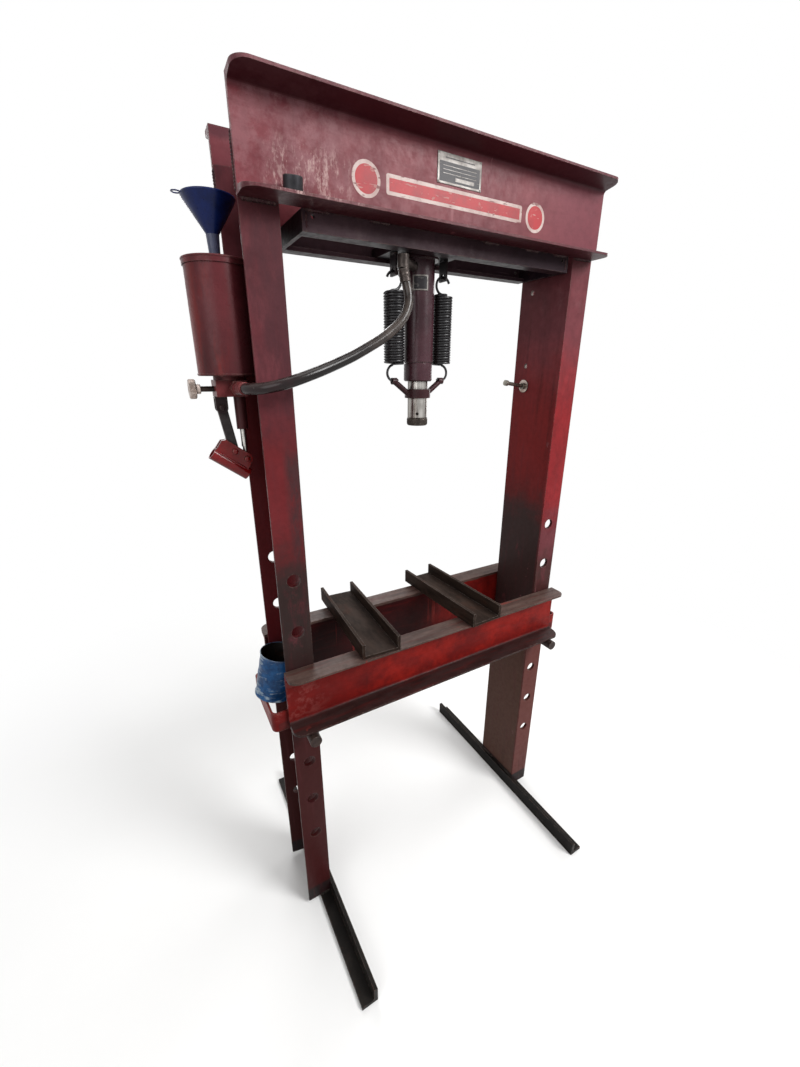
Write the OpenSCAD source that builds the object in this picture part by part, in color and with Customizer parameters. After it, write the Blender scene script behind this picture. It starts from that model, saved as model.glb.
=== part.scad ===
// Floor-standing hydraulic press: channel-steel frame, hanging bed, spring-returned ram, hand pump.
// Millimetres, +Z up, floor at z = 0, origin on the floor midway between the columns.

/* [Columns] */
// Clear width between the column webs
clear_w = 714; // [660:1:900]
// Depth of a column, front to back
col_d = 165; // [158:1:200]
// Width of a column flange
col_fl = 66; // [60:1:80]
// Thickness of a column web
col_web = 9; // [6:0.5:12]
// Mean thickness of a column flange
col_tf = 10; // [7:0.5:13]
// How far the columns stop below the head's top
col_under = 61; // [10:1:120]

/* [Pin holes] */
// Diameter of a bed pin hole
hole_d = 30; // [29:0.5:34]
// Height of the lowest pin hole
hole_z = 268; // [240:1:280]
// Spacing of the pin holes
hole_pitch = 127; // [110:1:130]
// Number of pin holes in a row
hole_n = 7; // [5:1:7]
// Row of holes that holds the bed, from the bottom
pin_row = 4; // [2:1:4]
// Distance of the holes from the web's inner face
hole_in = 30; // [26:1:36]
// Diameter of a bed pin
pin_d = 28; // [24:0.5:28.5]
// Length of a bed pin
pin_l = 310; // [270:1:340]

/* [Head] */
// Height of the top of the head
head_top = 1866; // [1850:1:1900]
// Depth of a head beam
head_h = 152; // [130:1:156]
// Width of a head flange
head_fl = 57; // [50:1:75]
// Thickness of a head web
head_web = 10; // [7:0.5:12]
// Mean thickness of a head flange
head_tf = 8.5; // [7:0.5:12]
// How far a head beam passes the columns' edges
head_over = 1; // [0:0.5:60]
// Radius of the rounded flange corners
corner_r = 25; // [5:1:40]
// Radius inside the corners of a rolled channel
root_r = 8; // [3:0.5:10]

/* [Bed] */
// Height of a bed channel
bed_h = 150; // [130:1:160]
// Width of a bed flange
bed_fl = 54; // [45:1:70]
// Thickness of a bed web
bed_web = 8; // [6:0.5:12]
// Mean thickness of a bed flange
bed_tf = 8.5; // [7:0.5:12]
// How far a bed channel passes the columns' edges
bed_over = 7; // [0:0.5:30]
// Gap between a bed web and the column
bed_gap = 6; // [5.5:0.5:10]
// Thickness of an end strap
strap_t = 5; // [4:0.25:5]
// Height of an end strap
strap_h = 52; // [40:1:70]
// Distance of a strap from the column's edge
strap_out = 39; // [30:1:60]
// Length of strap along the bed web
strap_lap = 18; // [12:1:20]
// How far a strap hangs below the bed channels
strap_drop = 8; // [0:1:20]

/* [Bolsters] */
// Width of a bolster channel
bolster_w = 100; // [80:1:120]
// Height of a bolster channel
bolster_h = 39; // [30:1:50]
// Length of a bolster channel
bolster_l = 332; // [310:1:360]
// Thickness of a bolster's web and flanges
bolster_t = 8; // [5:0.5:10]

/* [Feet] */
// Length of a foot
foot_l = 736; // [500:1:900]
// Height of a foot's upright leg
foot_h = 45; // [30:1:60]
// Width of a foot's flat leg
foot_w = 42; // [30:1:70]
// Thickness of a foot
foot_t = 10; // [6:0.5:14]

/* [Cylinder mount] */
// Sideways place of the ram
ram_x = -29; // [-60:1:60]
// Gap between the mount frame and the left column
rail_gap_left = 38; // [2:1:100]
// Gap between the mount frame and the right column
rail_gap_right = 16; // [2:1:100]
// Height of a mount rail
rail_h = 34; // [30:1:60]
// Width of a mount rail's lower leg
rail_leg = 30; // [20:1:34]
// Thickness of the mount rails
rail_t = 8; // [5:0.5:10]
// Width of the mount plate
plate_w = 158; // [156:1:200]
// Thickness of the mount plate
plate_t = 20; // [12:1:22]

/* [Cylinder] */
// Outside diameter of the barrel
barrel_d = 68; // [64:0.5:74]
// Bore of the barrel
bore_d = 52; // [50.5:0.5:56]
// How far the cylinder hangs below the head
cyl_drop = 281; // [274:1:320]
// Length of the gland nut
gland_h = 42; // [30:1:50]
// Distance of the oil port below the head
port_drop = 50; // [48:1:64]
// Diameter of the ram rod
rod_d = 47; // [40:0.5:49]
// How far the ram stands out of the cylinder
ram_out = 101; // [93:1:120]
// Height of the nose cap
nose_h = 19; // [14:0.5:25]
// Diameter of the nose cap
nose_d = 50; // [48:0.5:56]
// Length of the piston
piston_h = 30; // [24:1:32]

/* [Return springs] */
// Distance of a spring from the ram's axis
spring_off = 64; // [63:0.5:72]
// Outside diameter of a spring
spring_d = 47; // [36:0.5:48]
// Diameter of the spring wire
wire_d = 5.6; // [4:0.2:6]
// Length of the coiled part
spring_l = 155; // [120:1:158]
// Height of the coils' lower end above the gland
spring_up = 34; // [29:1:37]
// Height of the yoke's collar
yoke_h = 20; // [16:1:24]
// Diameter of the yoke's collar
yoke_d = 61; // [58:1:70]
// Diameter of a yoke arm
arm_d = 13; // [11:0.5:14]

/* [Hand pump] */
// Distance of the tank's axis from the column's edge
pump_out = 30; // [26:1:40]
// Height of the valve block's underside
pump_z = 1408; // [1380:1:1440]
// Height of the valve block
block_h = 30; // [28:1:40]
// Depth of the valve block, front to back
block_d = 52; // [40:1:60]
// Outside diameter of the oil tank
tank_d = 110; // [90:1:120]
// Height of the oil tank
tank_h = 186; // [150:1:230]
// Wall of the oil tank
tank_wall = 2.5; // [1.5:0.25:4]
// Diameter of the pump plunger
plunger_d = 12; // [9:0.5:14]
// Diameter of the pump's pivot pins
pivot_d = 8; // [6:0.5:10]
// Thickness of the link and the plunger eye
link_t = 10; // [6:0.5:14]
// Width of the link
link_w = 18; // [14:0.5:20]
// Outside diameter of the lever socket
socket_d = 25; // [22:0.5:30]
// Bore of the lever socket
socket_bore = 20; // [16:0.5:21]
// Length of the lever socket
socket_l = 80; // [76:1:120]
// Diameter of the release knob
knob_d = 35; // [25:1:40]

/* [Loose things] */
// Diameter of the funnel's rim
funnel_d = 88; // [60:1:100]
// Height of the funnel's cone
funnel_h = 56; // [40:1:70]
// Diameter of the tin
tin_d = 96; // [85:1:105]
// Height of the tin
tin_h = 112; // [105:1:135]
// Outside diameter of the press sleeve
sleeve_d = 31; // [24:1:40]
// Height of the press sleeve
sleeve_h = 20; // [14:1:40]

/* [Hidden] */
// Clearances: running fit, still fit, between bodies at rest, beside a moving link
run_fit = 0.05;
still_fit = 0.1;
rest_gap = 0.3;
side_gap = 0.5;
$fn = 64;
// Slope of the inner face of a rolled flange
taper = 1 / 6;
flange_slope = atan(taper);

// Frame levels and places
web_x = clear_w / 2;
edge_x = web_x + col_fl;
head_l = 2 * (edge_x + head_over);
head_z = head_top - head_h;
col_top = head_top - col_under;
pin_z = hole_z + hole_pitch * (pin_row - 1) - (hole_d - pin_d) / 2 + rest_gap;
pin_x = web_x + hole_in;
bed_l = 2 * (edge_x + bed_over);
bed_z = pin_z + pin_d / 2 + rest_gap;
bed_top = bed_z + bed_h;
bed_y = col_d / 2 + bed_gap;
strap_z = bed_z - strap_drop;
strap_top = strap_z + strap_h;
strap_x = edge_x + strap_out;
strap_bend = 10;

// Small holes through the column webs, in front-to-back place and height
web_hole_d = 12;
web_hole_y = 41;
web_hole_drop = [243, 60];
web_hole_z = [for (drop = web_hole_drop) head_z - drop];

// Peg on the right column
peg_drop = 297;
peg_z = head_z - peg_drop;
peg_d = 10;
peg_l = 70;
peg_lift = 8;
peg_collar_d = 17;
peg_collar_l = 7;
peg_knob_d = 15;
peg_knob_l = 9;
peg_washer_d = 34;
peg_washer_t = 3;
peg_nut_w = 17;
peg_nut_h = 8;

// Mount frame under the head
rail_x0 = rail_gap_left - web_x;
rail_x1 = web_x - rail_gap_right;
rail_z = head_z - rail_h;
rail_hole_d = 7;
rail_hole_in = 20;
rail_hole_down = 10;
plate_z = rail_z + rail_t;
plate_d = col_d - 2 * rail_t - 2 * still_fit;

// Cylinder and ram levels
gland_z = head_z - cyl_drop;
port_z = head_z - port_drop;
nose_z = gland_z - ram_out;
gland_top = gland_z + gland_h;
gland_d = barrel_d - 2;
collar_d = barrel_d + 16;
collar_h = 8;
ring_d = barrel_d + 26;
ring_h = 14;
barrel_top = plate_z + plate_t + ring_h;
cap_h = 18;
seal_h = 6;
seal_d = 4;
piston_top = port_z - 8;
piston_z = piston_top - piston_h;
nose_top = nose_z + nose_h;
tenon_d = rod_d - 7;
tenon_h = nose_h - 6;
nose_hole_d = 7;
nose_hole_depth = 26;
nose_hole_up = 9;
view_turn = 148;
label_w = 34;
label_h = 30;
label_t = 0.8;
label_drop = 45;
label_z = port_z - label_drop;
label_turn = 243;

// Spring ends, hangers and yoke
spring_z = gland_z + spring_up;
coil_n = floor(spring_l / wire_d);
coil_pitch = spring_l / coil_n;
groove = wire_d * 0.3;
coil_eye = 4;
spring_top = spring_z + spring_l;
hook_r = (spring_d - wire_d) / 2 - 3;
top_hook_turn = [295, 225];
low_hook_turn = [65, 240];
top_hook_z = spring_top + hook_r - 2;
low_hook_z = spring_z - hook_r + 2;
hanger_t = 5;
hanger_w = 26;
hook_hole_d = 10;
hook_in_r = hook_r - wire_d / 2;
function hook_rise(half) = hook_in_r - sqrt(hook_in_r * hook_in_r - half * half);
hanger_hole_z = top_hook_z + hook_in_r - hook_rise(hanger_t / 2) - rest_gap + hook_hole_d / 2;
hanger_z = hanger_hole_z - hook_hole_d / 2 - 6;
arm_hole_d = 8.8;
tip_d = arm_d + 2;
tip_l = 12;
arm_hole_z = low_hook_z - hook_in_r + hook_rise(tip_l / 2) + rest_gap - arm_hole_d / 2;
yoke_drop = 38;
yoke_z = arm_hole_z - yoke_drop;

// Hand pump
pump_x = -(edge_x + pump_out);
block_left = 31;
block_right = 25;
block_x0 = pump_x - block_left;
block_x1 = pump_x + block_right;
boss_d = 60;
boss_h = 7;
tank_z = pump_z + block_h + boss_h;
tank_top = tank_z + tank_h;
lid_t = 5;
lid_lip = 6;
lid_over = 2;
stem_top_d = 22;
stem_end_d = 13;
stem_l = 86;
stem_out = 39;
funnel_z = tank_top + lid_t + stem_out;
stem_d_at_lid = stem_top_d - (stem_top_d - stem_end_d) * stem_out / stem_l;
filler_d = stem_d_at_lid + 2 * rest_gap;
funnel_wall = 1.6;
loop_d = 16;
loop_wire = 2.4;
plunger_x = pump_x + 13;
plunger_barrel_d = plunger_d + 10;
plunger_barrel_l = 62;
plunger_bore_up = 18;
plunger_top = pump_z - 22;
// Lever frame: tilt at rest, and pivots as [along the socket, above its axis] from its open end
lever_tilt = 36.87;
fulcrum_u = 33;
drive_u = 60;
pivot_v = 26;
fulcrum_uv = [fulcrum_u, pivot_v];
drive_uv = [drive_u, pivot_v];
cheek_t = 5;
cheek_r = 11;
cheek_in = 1;
cheek_cut = 6;
drive_drop = 121;
drive_z = pump_z - drive_drop;
drive_slack = 1.8;
eye_d = link_w;
neck_d = link_t - 1;
neck_l = 24;
function lever_xz(uv) = [uv[0] * cos(lever_tilt) + uv[1] * sin(lever_tilt),
                         uv[1] * cos(lever_tilt) - uv[0] * sin(lever_tilt)];
lever_at = [plunger_x, drive_z] - lever_xz(drive_uv);
fulcrum = lever_at + lever_xz(fulcrum_uv);
lug_at = [block_x0 + 9, pump_z - 20];
lug_base_t = 4;
lug_w = link_w + 4;
link_vec = lug_at - fulcrum;
link_l = norm(link_vec);
link_tilt = atan2(link_vec[0], link_vec[1]);
cheek_y0 = link_t / 2 + side_gap;
cheek_y1 = cheek_y0 + cheek_t;
valve_z = pump_z + 14;
valve_d = 10;
valve_in = 14;
valve_l = 46;
knob_t = 12;
knob_hub_d = 18;
knob_hub_l = 8;
bracket_d = 44;
bracket_h = 22;
bracket_foot_t = 6;
bracket_foot_w = 90;
bracket_foot_h = 66;
bracket_up = 4;

// Hose route, from the elbow at the barrel to the fitting at the pump
hose_d = 20;
hose_drawn = [
    [-104, -58, 1650], [-100, -59, 1632], [-95, -62, 1611], [-96, -67, 1589], [-106, -73, 1567],
    [-124, -80, 1547], [-150, -89, 1529], [-180, -98, 1512], [-212, -108, 1497], [-246, -119, 1482],
    [-280, -129, 1469], [-314, -138, 1457], [-344, -143, 1447], [-372, -144, 1438], [-396, -139, 1431],
    [-418, -126, 1426], [-435, -106, 1424], [-445, -84, 1424], [-447, -64, 1424]];
hose_sides = 10;
elbow_out = [-75, -58];
elbow_drop = 14;
fitting_l = 38;
fitting_in = 6;
fitting_up = 16;
// The drawn route follows the oil port at one end and the pump at the other
hose_start = [ram_x + elbow_out[0], elbow_out[1], port_z - elbow_drop];
hose_end = [pump_x + fitting_in, -block_d / 2 - fitting_l, pump_z + fitting_up];
hose_last = len(hose_drawn) - 1;
hose_route = [for (k = [0:hose_last]) let (t = k / hose_last)
    hose_drawn[k] + (1 - t) * (hose_start - hose_drawn[0]) + t * (hose_end - hose_drawn[hose_last])];
port_vec = [hose_start[0] - ram_x, hose_start[1], 0];
port_turn = atan2(port_vec[1], port_vec[0]);
port_l = norm(port_vec);
nipple_d = 18;
elbow_d = 24;
fitting_hex_w = 26;
fitting_hex_l = 14;

// Loose things
bolster_at = [[-194, 28], [105, 16]];
bolster_turn = [-3.5, 2.6];
tin_wall = 1;
tin_over = 22;
// The tin stands on the strap's inner edge and leans on the column's web
tin_base = [tin_d - tin_over, tin_h];
tin_reach = strap_x - web_x - col_web - rest_gap;
tin_tilt = atan2(tin_base[1], tin_base[0]) - acos(tin_reach / norm(tin_base));
sleeve_wall = 4;
sleeve_in = 14;
sleeve_out = 36;
sleeve_at = [sleeve_in - web_x, -(col_d / 2 + sleeve_out)];
// Height of the head's lower flange where the sleeve stands on its sloping face
sleeve_z = head_z + flange_root(head_fl, head_web, head_tf) - taper * (sleeve_out - head_web);
name_plate = [105, 1.2, 49];
name_plate_up = 103;
name_plate_at = [2, head_z + name_plate_up];

// Rolled channel section: back of the web on x = 0, flanges towards +x, depth along y.
// The flanges taper from the root to the toe, with a fillet at the web.
function flange_root(flange, web, tf) = tf + taper * (flange - web) / 2;
module channel_section(depth, flange, web, tf) {
    root = flange_root(flange, web, tf);
    toe = root - taper * (flange - web);
    mid = [web + root_r, root - taper * root_r + root_r / cos(flange_slope)];
    steps = 5;
    fillet = [for (k = [0:steps]) let (a = 180 + (90 - flange_slope) * (1 - k / steps))
        mid + root_r * [cos(a), sin(a)]];
    upper = [for (k = [steps:-1:0]) [fillet[k][0], depth - fillet[k][1]]];
    polygon(concat([[0, 0], [flange, 0], [flange, toe]], fillet, upper,
        [[flange, depth - toe], [flange, depth], [0, depth]]));
}

// Plan of a flange along x, with its two outer corners rounded
module flange_plan(length, width) {
    translate([-length / 2, 0]) square([length, width - corner_r]);
    translate([-length / 2 + corner_r, 0]) square([length - 2 * corner_r, width]);
    for (s = [-1, 1]) translate([s * (length / 2 - corner_r), width - corner_r]) circle(corner_r);
}

// Beam along x with its web on the plane y and its flanges towards +y
module beam(length, z, y, depth, flange, web, tf) {
    translate([0, y, z]) intersection() {
        translate([-length / 2, 0, 0]) rotate([90, 0, 90])
            linear_extrude(length) channel_section(depth, flange, web, tf);
        linear_extrude(depth) flange_plan(length, flange);
    }
}

// Drilled round bar along an axis of the part
module bar_x(d, l) { rotate([0, 90, 0]) cylinder(d = d, h = l); }
module bar_y(d, l) { translate([0, -l / 2, 0]) rotate([-90, 0, 0]) cylinder(d = d, h = l); }
module tube(od, id, h) {
    difference() {
        cylinder(d = od, h = h);
        translate([0, 0, -1]) cylinder(d = id, h = h + 2);
    }
}

// Frame
module column(side) {
    mirror([side < 0 ? 1 : 0, 0, 0]) difference() {
        translate([web_x, -col_d / 2, foot_t])
            linear_extrude(col_top - foot_t) channel_section(col_d, col_fl, col_web, col_tf);
        for (k = [0:hole_n - 1]) translate([pin_x, 0, hole_z + k * hole_pitch]) bar_y(hole_d, col_d + 10);
        for (z = web_hole_z) translate([web_x - 1, web_hole_y, z]) bar_x(web_hole_d, col_web + 2);
        if (side > 0) translate([web_x - 1, web_hole_y, peg_z]) bar_x(peg_d + 2 * still_fit, col_web + 2);
    }
}
module left_column() { color("#6b3038") column(-1); }
module right_column() { color("#7a2c2c") column(1); }

module foot(side) {
    mirror([side < 0 ? 1 : 0, 0, 0]) translate([web_x - foot_t, foot_l / 2, 0]) rotate([90, 0, 0])
        linear_extrude(foot_l)
            polygon([[0, 0], [foot_w, 0], [foot_w, foot_t], [foot_t, foot_t], [foot_t, foot_h], [0, foot_h]]);
}
module left_foot() { color("#1d1b1b") foot(-1); }
module right_foot() { color("#1d1b1b") foot(1); }

module head_beam() { beam(head_l, head_z, col_d / 2, head_h, head_fl, head_web, head_tf); }
module front_head_beam() { color("#743c41") mirror([0, 1, 0]) head_beam(); }
module rear_head_beam() { color("#743c41") head_beam(); }

// Mount frame and plate under the head
module mount_rail() {
    difference() {
        translate([rail_x0 + rail_t, col_d / 2, rail_z]) rotate([90, 0, 90])
            linear_extrude(rail_x1 - rail_x0 - 2 * rail_t) polygon([[0, 0], [0, rail_h], [-rail_t, rail_h],
                [-rail_t, rail_t], [-rail_leg, rail_t], [-rail_leg, 0]]);
        for (x = [rail_x0 + rail_hole_in, rail_x1 - rail_hole_in])
            translate([x, col_d / 2, head_z - rail_hole_down]) bar_y(rail_hole_d, 3 * rail_t);
    }
}
module front_mount_rail() { color("#7c545c") mirror([0, 1, 0]) mount_rail(); }
module rear_mount_rail() { color("#7c545c") mount_rail(); }
module rail_end(x) { translate([x, -col_d / 2, rail_z]) cube([rail_t, col_d, rail_h]); }
module left_rail_end() { color("#5a3a40") rail_end(rail_x0); }
module right_rail_end() { color("#5a3a40") rail_end(rail_x1 - rail_t); }
module cylinder_mount_plate() {
    color("#4a3338") difference() {
        translate([ram_x - plate_w / 2, -plate_d / 2, plate_z]) cube([plate_w, plate_d, plate_t]);
        translate([ram_x, 0, plate_z - 1]) cylinder(d = barrel_d + 2 * still_fit, h = plate_t + 2);
    }
}

// Cylinder
module cylinder_barrel() {
    color("#43262e") translate([ram_x, 0, 0]) difference() {
        union() {
            translate([0, 0, gland_top]) cylinder(d = barrel_d, h = barrel_top - gland_top);
            translate([0, 0, plate_z - collar_h]) cylinder(d = collar_d, h = collar_h);
        }
        translate([0, 0, gland_top - 1]) cylinder(d = bore_d, h = barrel_top - gland_top + 2);
        translate([0, 0, port_z]) rotate([0, 0, port_turn]) bar_x(nipple_d + 2 * still_fit, barrel_d);
    }
}
module cylinder_end_cap() {
    color("#3a2a2e") translate([ram_x, 0, barrel_top]) cylinder(d = barrel_d, h = cap_h);
}
module cylinder_lock_ring() {
    color("#4b4646") translate([ram_x, 0, plate_z + plate_t]) tube(ring_d, barrel_d + 2 * still_fit, ring_h);
}
module cylinder_gland() {
    color("#3b2229") translate([ram_x, 0, gland_z]) difference() {
        cylinder(d = gland_d, h = gland_h);
        translate([0, 0, -1]) cylinder(d = rod_d + 2 * run_fit, h = gland_h + 2);
        translate([0, 0, gland_h / 2]) cylinder(d = rod_d + seal_d, h = seal_h);
    }
}
module rod_seal() {
    color("#151515") translate([ram_x, 0, gland_z + gland_h / 2])
        tube(rod_d + seal_d, rod_d + 2 * run_fit, seal_h);
}
module cylinder_label() {
    color("#8d8a85") translate([ram_x, 0, label_z])
        rotate([0, 0, label_turn - 180 * label_w / (PI * barrel_d)])
            rotate_extrude(angle = 360 * label_w / (PI * barrel_d))
                translate([barrel_d / 2 + still_fit, 0]) square([label_t, label_h]);
}

// Ram
module ram_rod() {
    color("#8a837c") translate([ram_x, 0, 0]) difference() {
        union() {
            translate([0, 0, nose_top]) cylinder(d = rod_d, h = piston_z - nose_top);
            translate([0, 0, nose_top - tenon_h]) cylinder(d = tenon_d, h = tenon_h + 1);
        }
        translate([0, 0, nose_top + nose_hole_up]) rotate([0, 0, view_turn])
            translate([0, rod_d / 2 - nose_hole_depth, 0]) rotate([-90, 0, 0])
                cylinder(d = nose_hole_d, h = nose_hole_depth + 1);
    }
}
module ram_piston() {
    color("#777777") translate([ram_x, 0, piston_z]) difference() {
        cylinder(d = bore_d - 2 * run_fit, h = piston_h);
        translate([0, 0, piston_h / 2]) tube(bore_d + 2, bore_d - 2 * seal_d, seal_h);
    }
}
module piston_seal() {
    color("#151515") translate([ram_x, 0, piston_z + piston_h / 2])
        tube(bore_d - 2 * run_fit, bore_d - 2 * seal_d + 2 * still_fit, seal_h);
}
module ram_nose() {
    color("#2a2522") translate([ram_x, 0, nose_z]) difference() {
        cylinder(d = nose_d, h = nose_h);
        translate([0, 0, nose_h - tenon_h]) cylinder(d = tenon_d + 2 * still_fit, h = tenon_h + 1);
    }
}
module yoke_arm() {
    tip = [spring_off, arm_hole_z];
    foot = [rod_d / 2 + 3, yoke_z + yoke_h / 2];
    run = tip - foot;
    translate([foot[0], 0, foot[1]]) rotate([0, atan2(run[0], run[1]), 0]) cylinder(d = arm_d, h = norm(run));
    translate([tip[0] - tip_l / 2, 0, tip[1]]) bar_x(tip_d, tip_l);
}
module spring_yoke() {
    color("#262223") translate([ram_x, 0, 0]) difference() {
        union() {
            translate([0, 0, yoke_z]) cylinder(d = yoke_d, h = yoke_h);
            yoke_arm();
            mirror([1, 0, 0]) yoke_arm();
        }
        translate([0, 0, yoke_z - 1]) cylinder(d = rod_d + 2 * still_fit, h = yoke_h * 3);
        for (s = [-1, 1]) translate([s * spring_off - tip_l, 0, arm_hole_z]) bar_x(arm_hole_d, 2 * tip_l);
    }
}

// Return springs: close coils with a hook at each end
module coils() {
    outer = spring_d / 2;
    ribs = [for (k = [0:coil_n - 1], s = [[0, groove], [0.25, 0], [0.75, 0]])
        [outer - s[1], (k + s[0]) * coil_pitch]];
    inner = outer - wire_d;
    rotate_extrude() polygon(concat(ribs, [[outer - groove, spring_l], [coil_eye, spring_l],
        [coil_eye, spring_l - wire_d], [inner, spring_l - wire_d], [inner, wire_d], [coil_eye, wire_d],
        [coil_eye, 0]]));
}
module hook(from, sweep) {
    rotate([90, 0, 0]) rotate([0, 0, from])
        rotate_extrude(angle = sweep) translate([hook_r, 0]) circle(d = wire_d);
}
module return_spring() {
    translate([0, 0, spring_z]) coils();
    translate([0, 0, top_hook_z]) hook(top_hook_turn[0], top_hook_turn[1]);
    translate([0, 0, low_hook_z]) hook(low_hook_turn[0], low_hook_turn[1]);
}
module left_return_spring() { color("#161616") translate([ram_x - spring_off, 0, 0]) return_spring(); }
module right_return_spring() {
    color("#161616") translate([ram_x + spring_off, 0, 0]) mirror([1, 0, 0]) return_spring();
}
module spring_hanger(x) {
    difference() {
        translate([x - hanger_t / 2, -hanger_w / 2, hanger_z]) cube([hanger_t, hanger_w, plate_z - hanger_z]);
        translate([x - hanger_t, 0, hanger_hole_z]) bar_x(hook_hole_d, 2 * hanger_t);
    }
}
module left_spring_hanger() { color("#2b2627") spring_hanger(ram_x - spring_off); }
module right_spring_hanger() { color("#2b2627") spring_hanger(ram_x + spring_off); }

// Hose and its fittings
module hose_elbow() {
    color("#4a3f38") {
        translate([ram_x, 0, port_z]) rotate([0, 0, port_turn]) translate([bore_d / 2 + 2, 0, 0])
            bar_x(nipple_d, port_l - bore_d / 2 - 2);
        translate(hose_start) cylinder(d = elbow_d, h = port_z + elbow_d / 2 - 2 - hose_start[2]);
    }
}
function unit(v) = v / norm(v);
function hose_dir(k) = k == 0 ? [0, 0, -1] : k == len(hose_route) - 1 ? [0, 1, 0]
    : unit(hose_route[k + 1] - hose_route[k - 1]);
module oil_hose() {
    rings = len(hose_route);
    side_ref = [1, 1, 1];
    points = [for (k = [0:rings - 1])
        let (t = hose_dir(k), u = unit(cross(t, side_ref)), v = cross(t, u))
        for (j = [0:hose_sides - 1])
            hose_route[k] + hose_d / 2 * (u * cos(360 * j / hose_sides) + v * sin(360 * j / hose_sides))];
    walls = [for (k = [0:rings - 2], j = [0:hose_sides - 1])
        let (a = k * hose_sides + j, b = k * hose_sides + (j + 1) % hose_sides)
        [a + hose_sides, b + hose_sides, b, a]];
    first = [for (j = [0:hose_sides - 1]) j];
    last = [for (j = [hose_sides - 1:-1:0]) (rings - 1) * hose_sides + j];
    color("#3b3936") polyhedron(points, concat(walls, [first, last]));
}
module pump_hose_fitting() {
    color("#37332f") translate(hose_end) rotate([-90, 0, 0]) {
        cylinder(d = hose_d + 4, h = fitting_l - fitting_hex_l);
        translate([0, 0, fitting_l - fitting_hex_l])
            cylinder(d = fitting_hex_w * 2 / sqrt(3), h = fitting_hex_l, $fn = 6);
    }
}

// Hand pump on the left column
module pump_bracket() {
    web_out = -(web_x + col_web);
    color("#4d1f22") {
        translate([block_x1, -bracket_d / 2, pump_z + bracket_up])
            cube([web_out - bracket_foot_t - block_x1, bracket_d, bracket_h]);
        translate([web_out - bracket_foot_t, -bracket_foot_w / 2,
            pump_z + bracket_up + (bracket_h - bracket_foot_h) / 2])
            cube([bracket_foot_t, bracket_foot_w, bracket_foot_h]);
    }
}
module valve_block() {
    color("#5a1f20") difference() {
        union() {
            translate([block_x0, -block_d / 2, pump_z]) cube([block_x1 - block_x0, block_d, block_h]);
            translate([pump_x, 0, pump_z + block_h]) cylinder(d = boss_d, h = boss_h);
        }
        translate([plunger_x, 0, pump_z - 1]) cylinder(d = plunger_d + 2 * run_fit, h = plunger_bore_up + 1);
        translate([block_x0 - 1, 0, valve_z]) bar_x(valve_d + 2 * run_fit, valve_in + 2);
    }
}
module oil_tank() {
    color("#5b2524") translate([pump_x, 0, tank_z]) difference() {
        cylinder(d = tank_d, h = tank_h);
        translate([0, 0, tank_wall]) cylinder(d = tank_d - 2 * tank_wall, h = tank_h);
    }
}
module tank_lid() {
    lid_d = tank_d + 2 * lid_over;
    color("#5b2524") translate([pump_x, 0, tank_top]) {
        tube(lid_d, filler_d, lid_t);
        translate([0, 0, -lid_lip]) tube(lid_d, tank_d + 2 * still_fit, lid_lip);
    }
}
module plunger_barrel() {
    color("#2a2626") translate([plunger_x, 0, pump_z - plunger_barrel_l])
        tube(plunger_barrel_d, plunger_d + 2 * run_fit, plunger_barrel_l);
}
module link_lug() {
    color("#2a2626") difference() {
        union() {
            translate([lug_at[0] - lug_w / 2, -cheek_y1, pump_z - lug_base_t])
                cube([lug_w, 2 * cheek_y1, lug_base_t]);
            for (s = [-1, 1]) translate([lug_at[0], s * (cheek_y0 + cheek_t / 2), lug_at[1]]) {
                bar_y(lug_w, cheek_t);
                translate([-lug_w / 2, -cheek_t / 2, 0])
                    cube([lug_w, cheek_t, pump_z - lug_base_t / 2 - lug_at[1]]);
            }
        }
        translate([lug_at[0], 0, lug_at[1]]) bar_y(pivot_d + 2 * still_fit, 3 * cheek_y1);
    }
}
module pivot_pin(at) { translate([at[0], 0, at[1]]) bar_y(pivot_d, 2 * cheek_y1 + 4); }
module lug_pin() { color("#4a4743") pivot_pin(lug_at); }
module fulcrum_pin() { color("#4a4743") pivot_pin(fulcrum); }
module plunger_pin() { color("#4a4743") pivot_pin([plunger_x, drive_z]); }
module pump_link() {
    color("#2f2c2b") translate([fulcrum[0], 0, fulcrum[1]]) rotate([0, link_tilt, 0]) difference() {
        union() {
            bar_y(link_w, link_t);
            translate([0, 0, link_l]) bar_y(link_w, link_t);
            translate([-link_w / 2, -link_t / 2, 0]) cube([link_w, link_t, link_l]);
        }
        for (z = [0, link_l]) translate([0, 0, z]) bar_y(pivot_d + 2 * run_fit, link_t + 2);
    }
}
module cheek_plan() {
    top = pivot_v + cheek_r;
    translate(drive_uv) circle(cheek_r);
    polygon([[cheek_in, 0], [drive_u + cheek_r + 3, 0], drive_uv + [cheek_r, 0], [drive_u, top],
        [cheek_in + cheek_cut, top], [cheek_in, top - cheek_cut]]);
}
module lever_socket() {
    color("#6e2020") translate([lever_at[0], 0, lever_at[1]]) rotate([0, lever_tilt, 0]) difference() {
        union() {
            bar_x(socket_d, socket_l);
            for (s = [-1, 1]) translate([0, s * (cheek_y0 + cheek_t / 2) + cheek_t / 2, 0])
                rotate([90, 0, 0]) linear_extrude(cheek_t) cheek_plan();
        }
        translate([-1, 0, 0]) bar_x(socket_bore, socket_l + 2);
        translate([fulcrum_uv[0], 0, fulcrum_uv[1]]) bar_y(pivot_d + 2 * still_fit, 3 * cheek_y1);
        translate([drive_uv[0], 0, drive_uv[1]]) bar_y(pivot_d + 2 * drive_slack, 3 * cheek_y1);
    }
}
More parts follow.
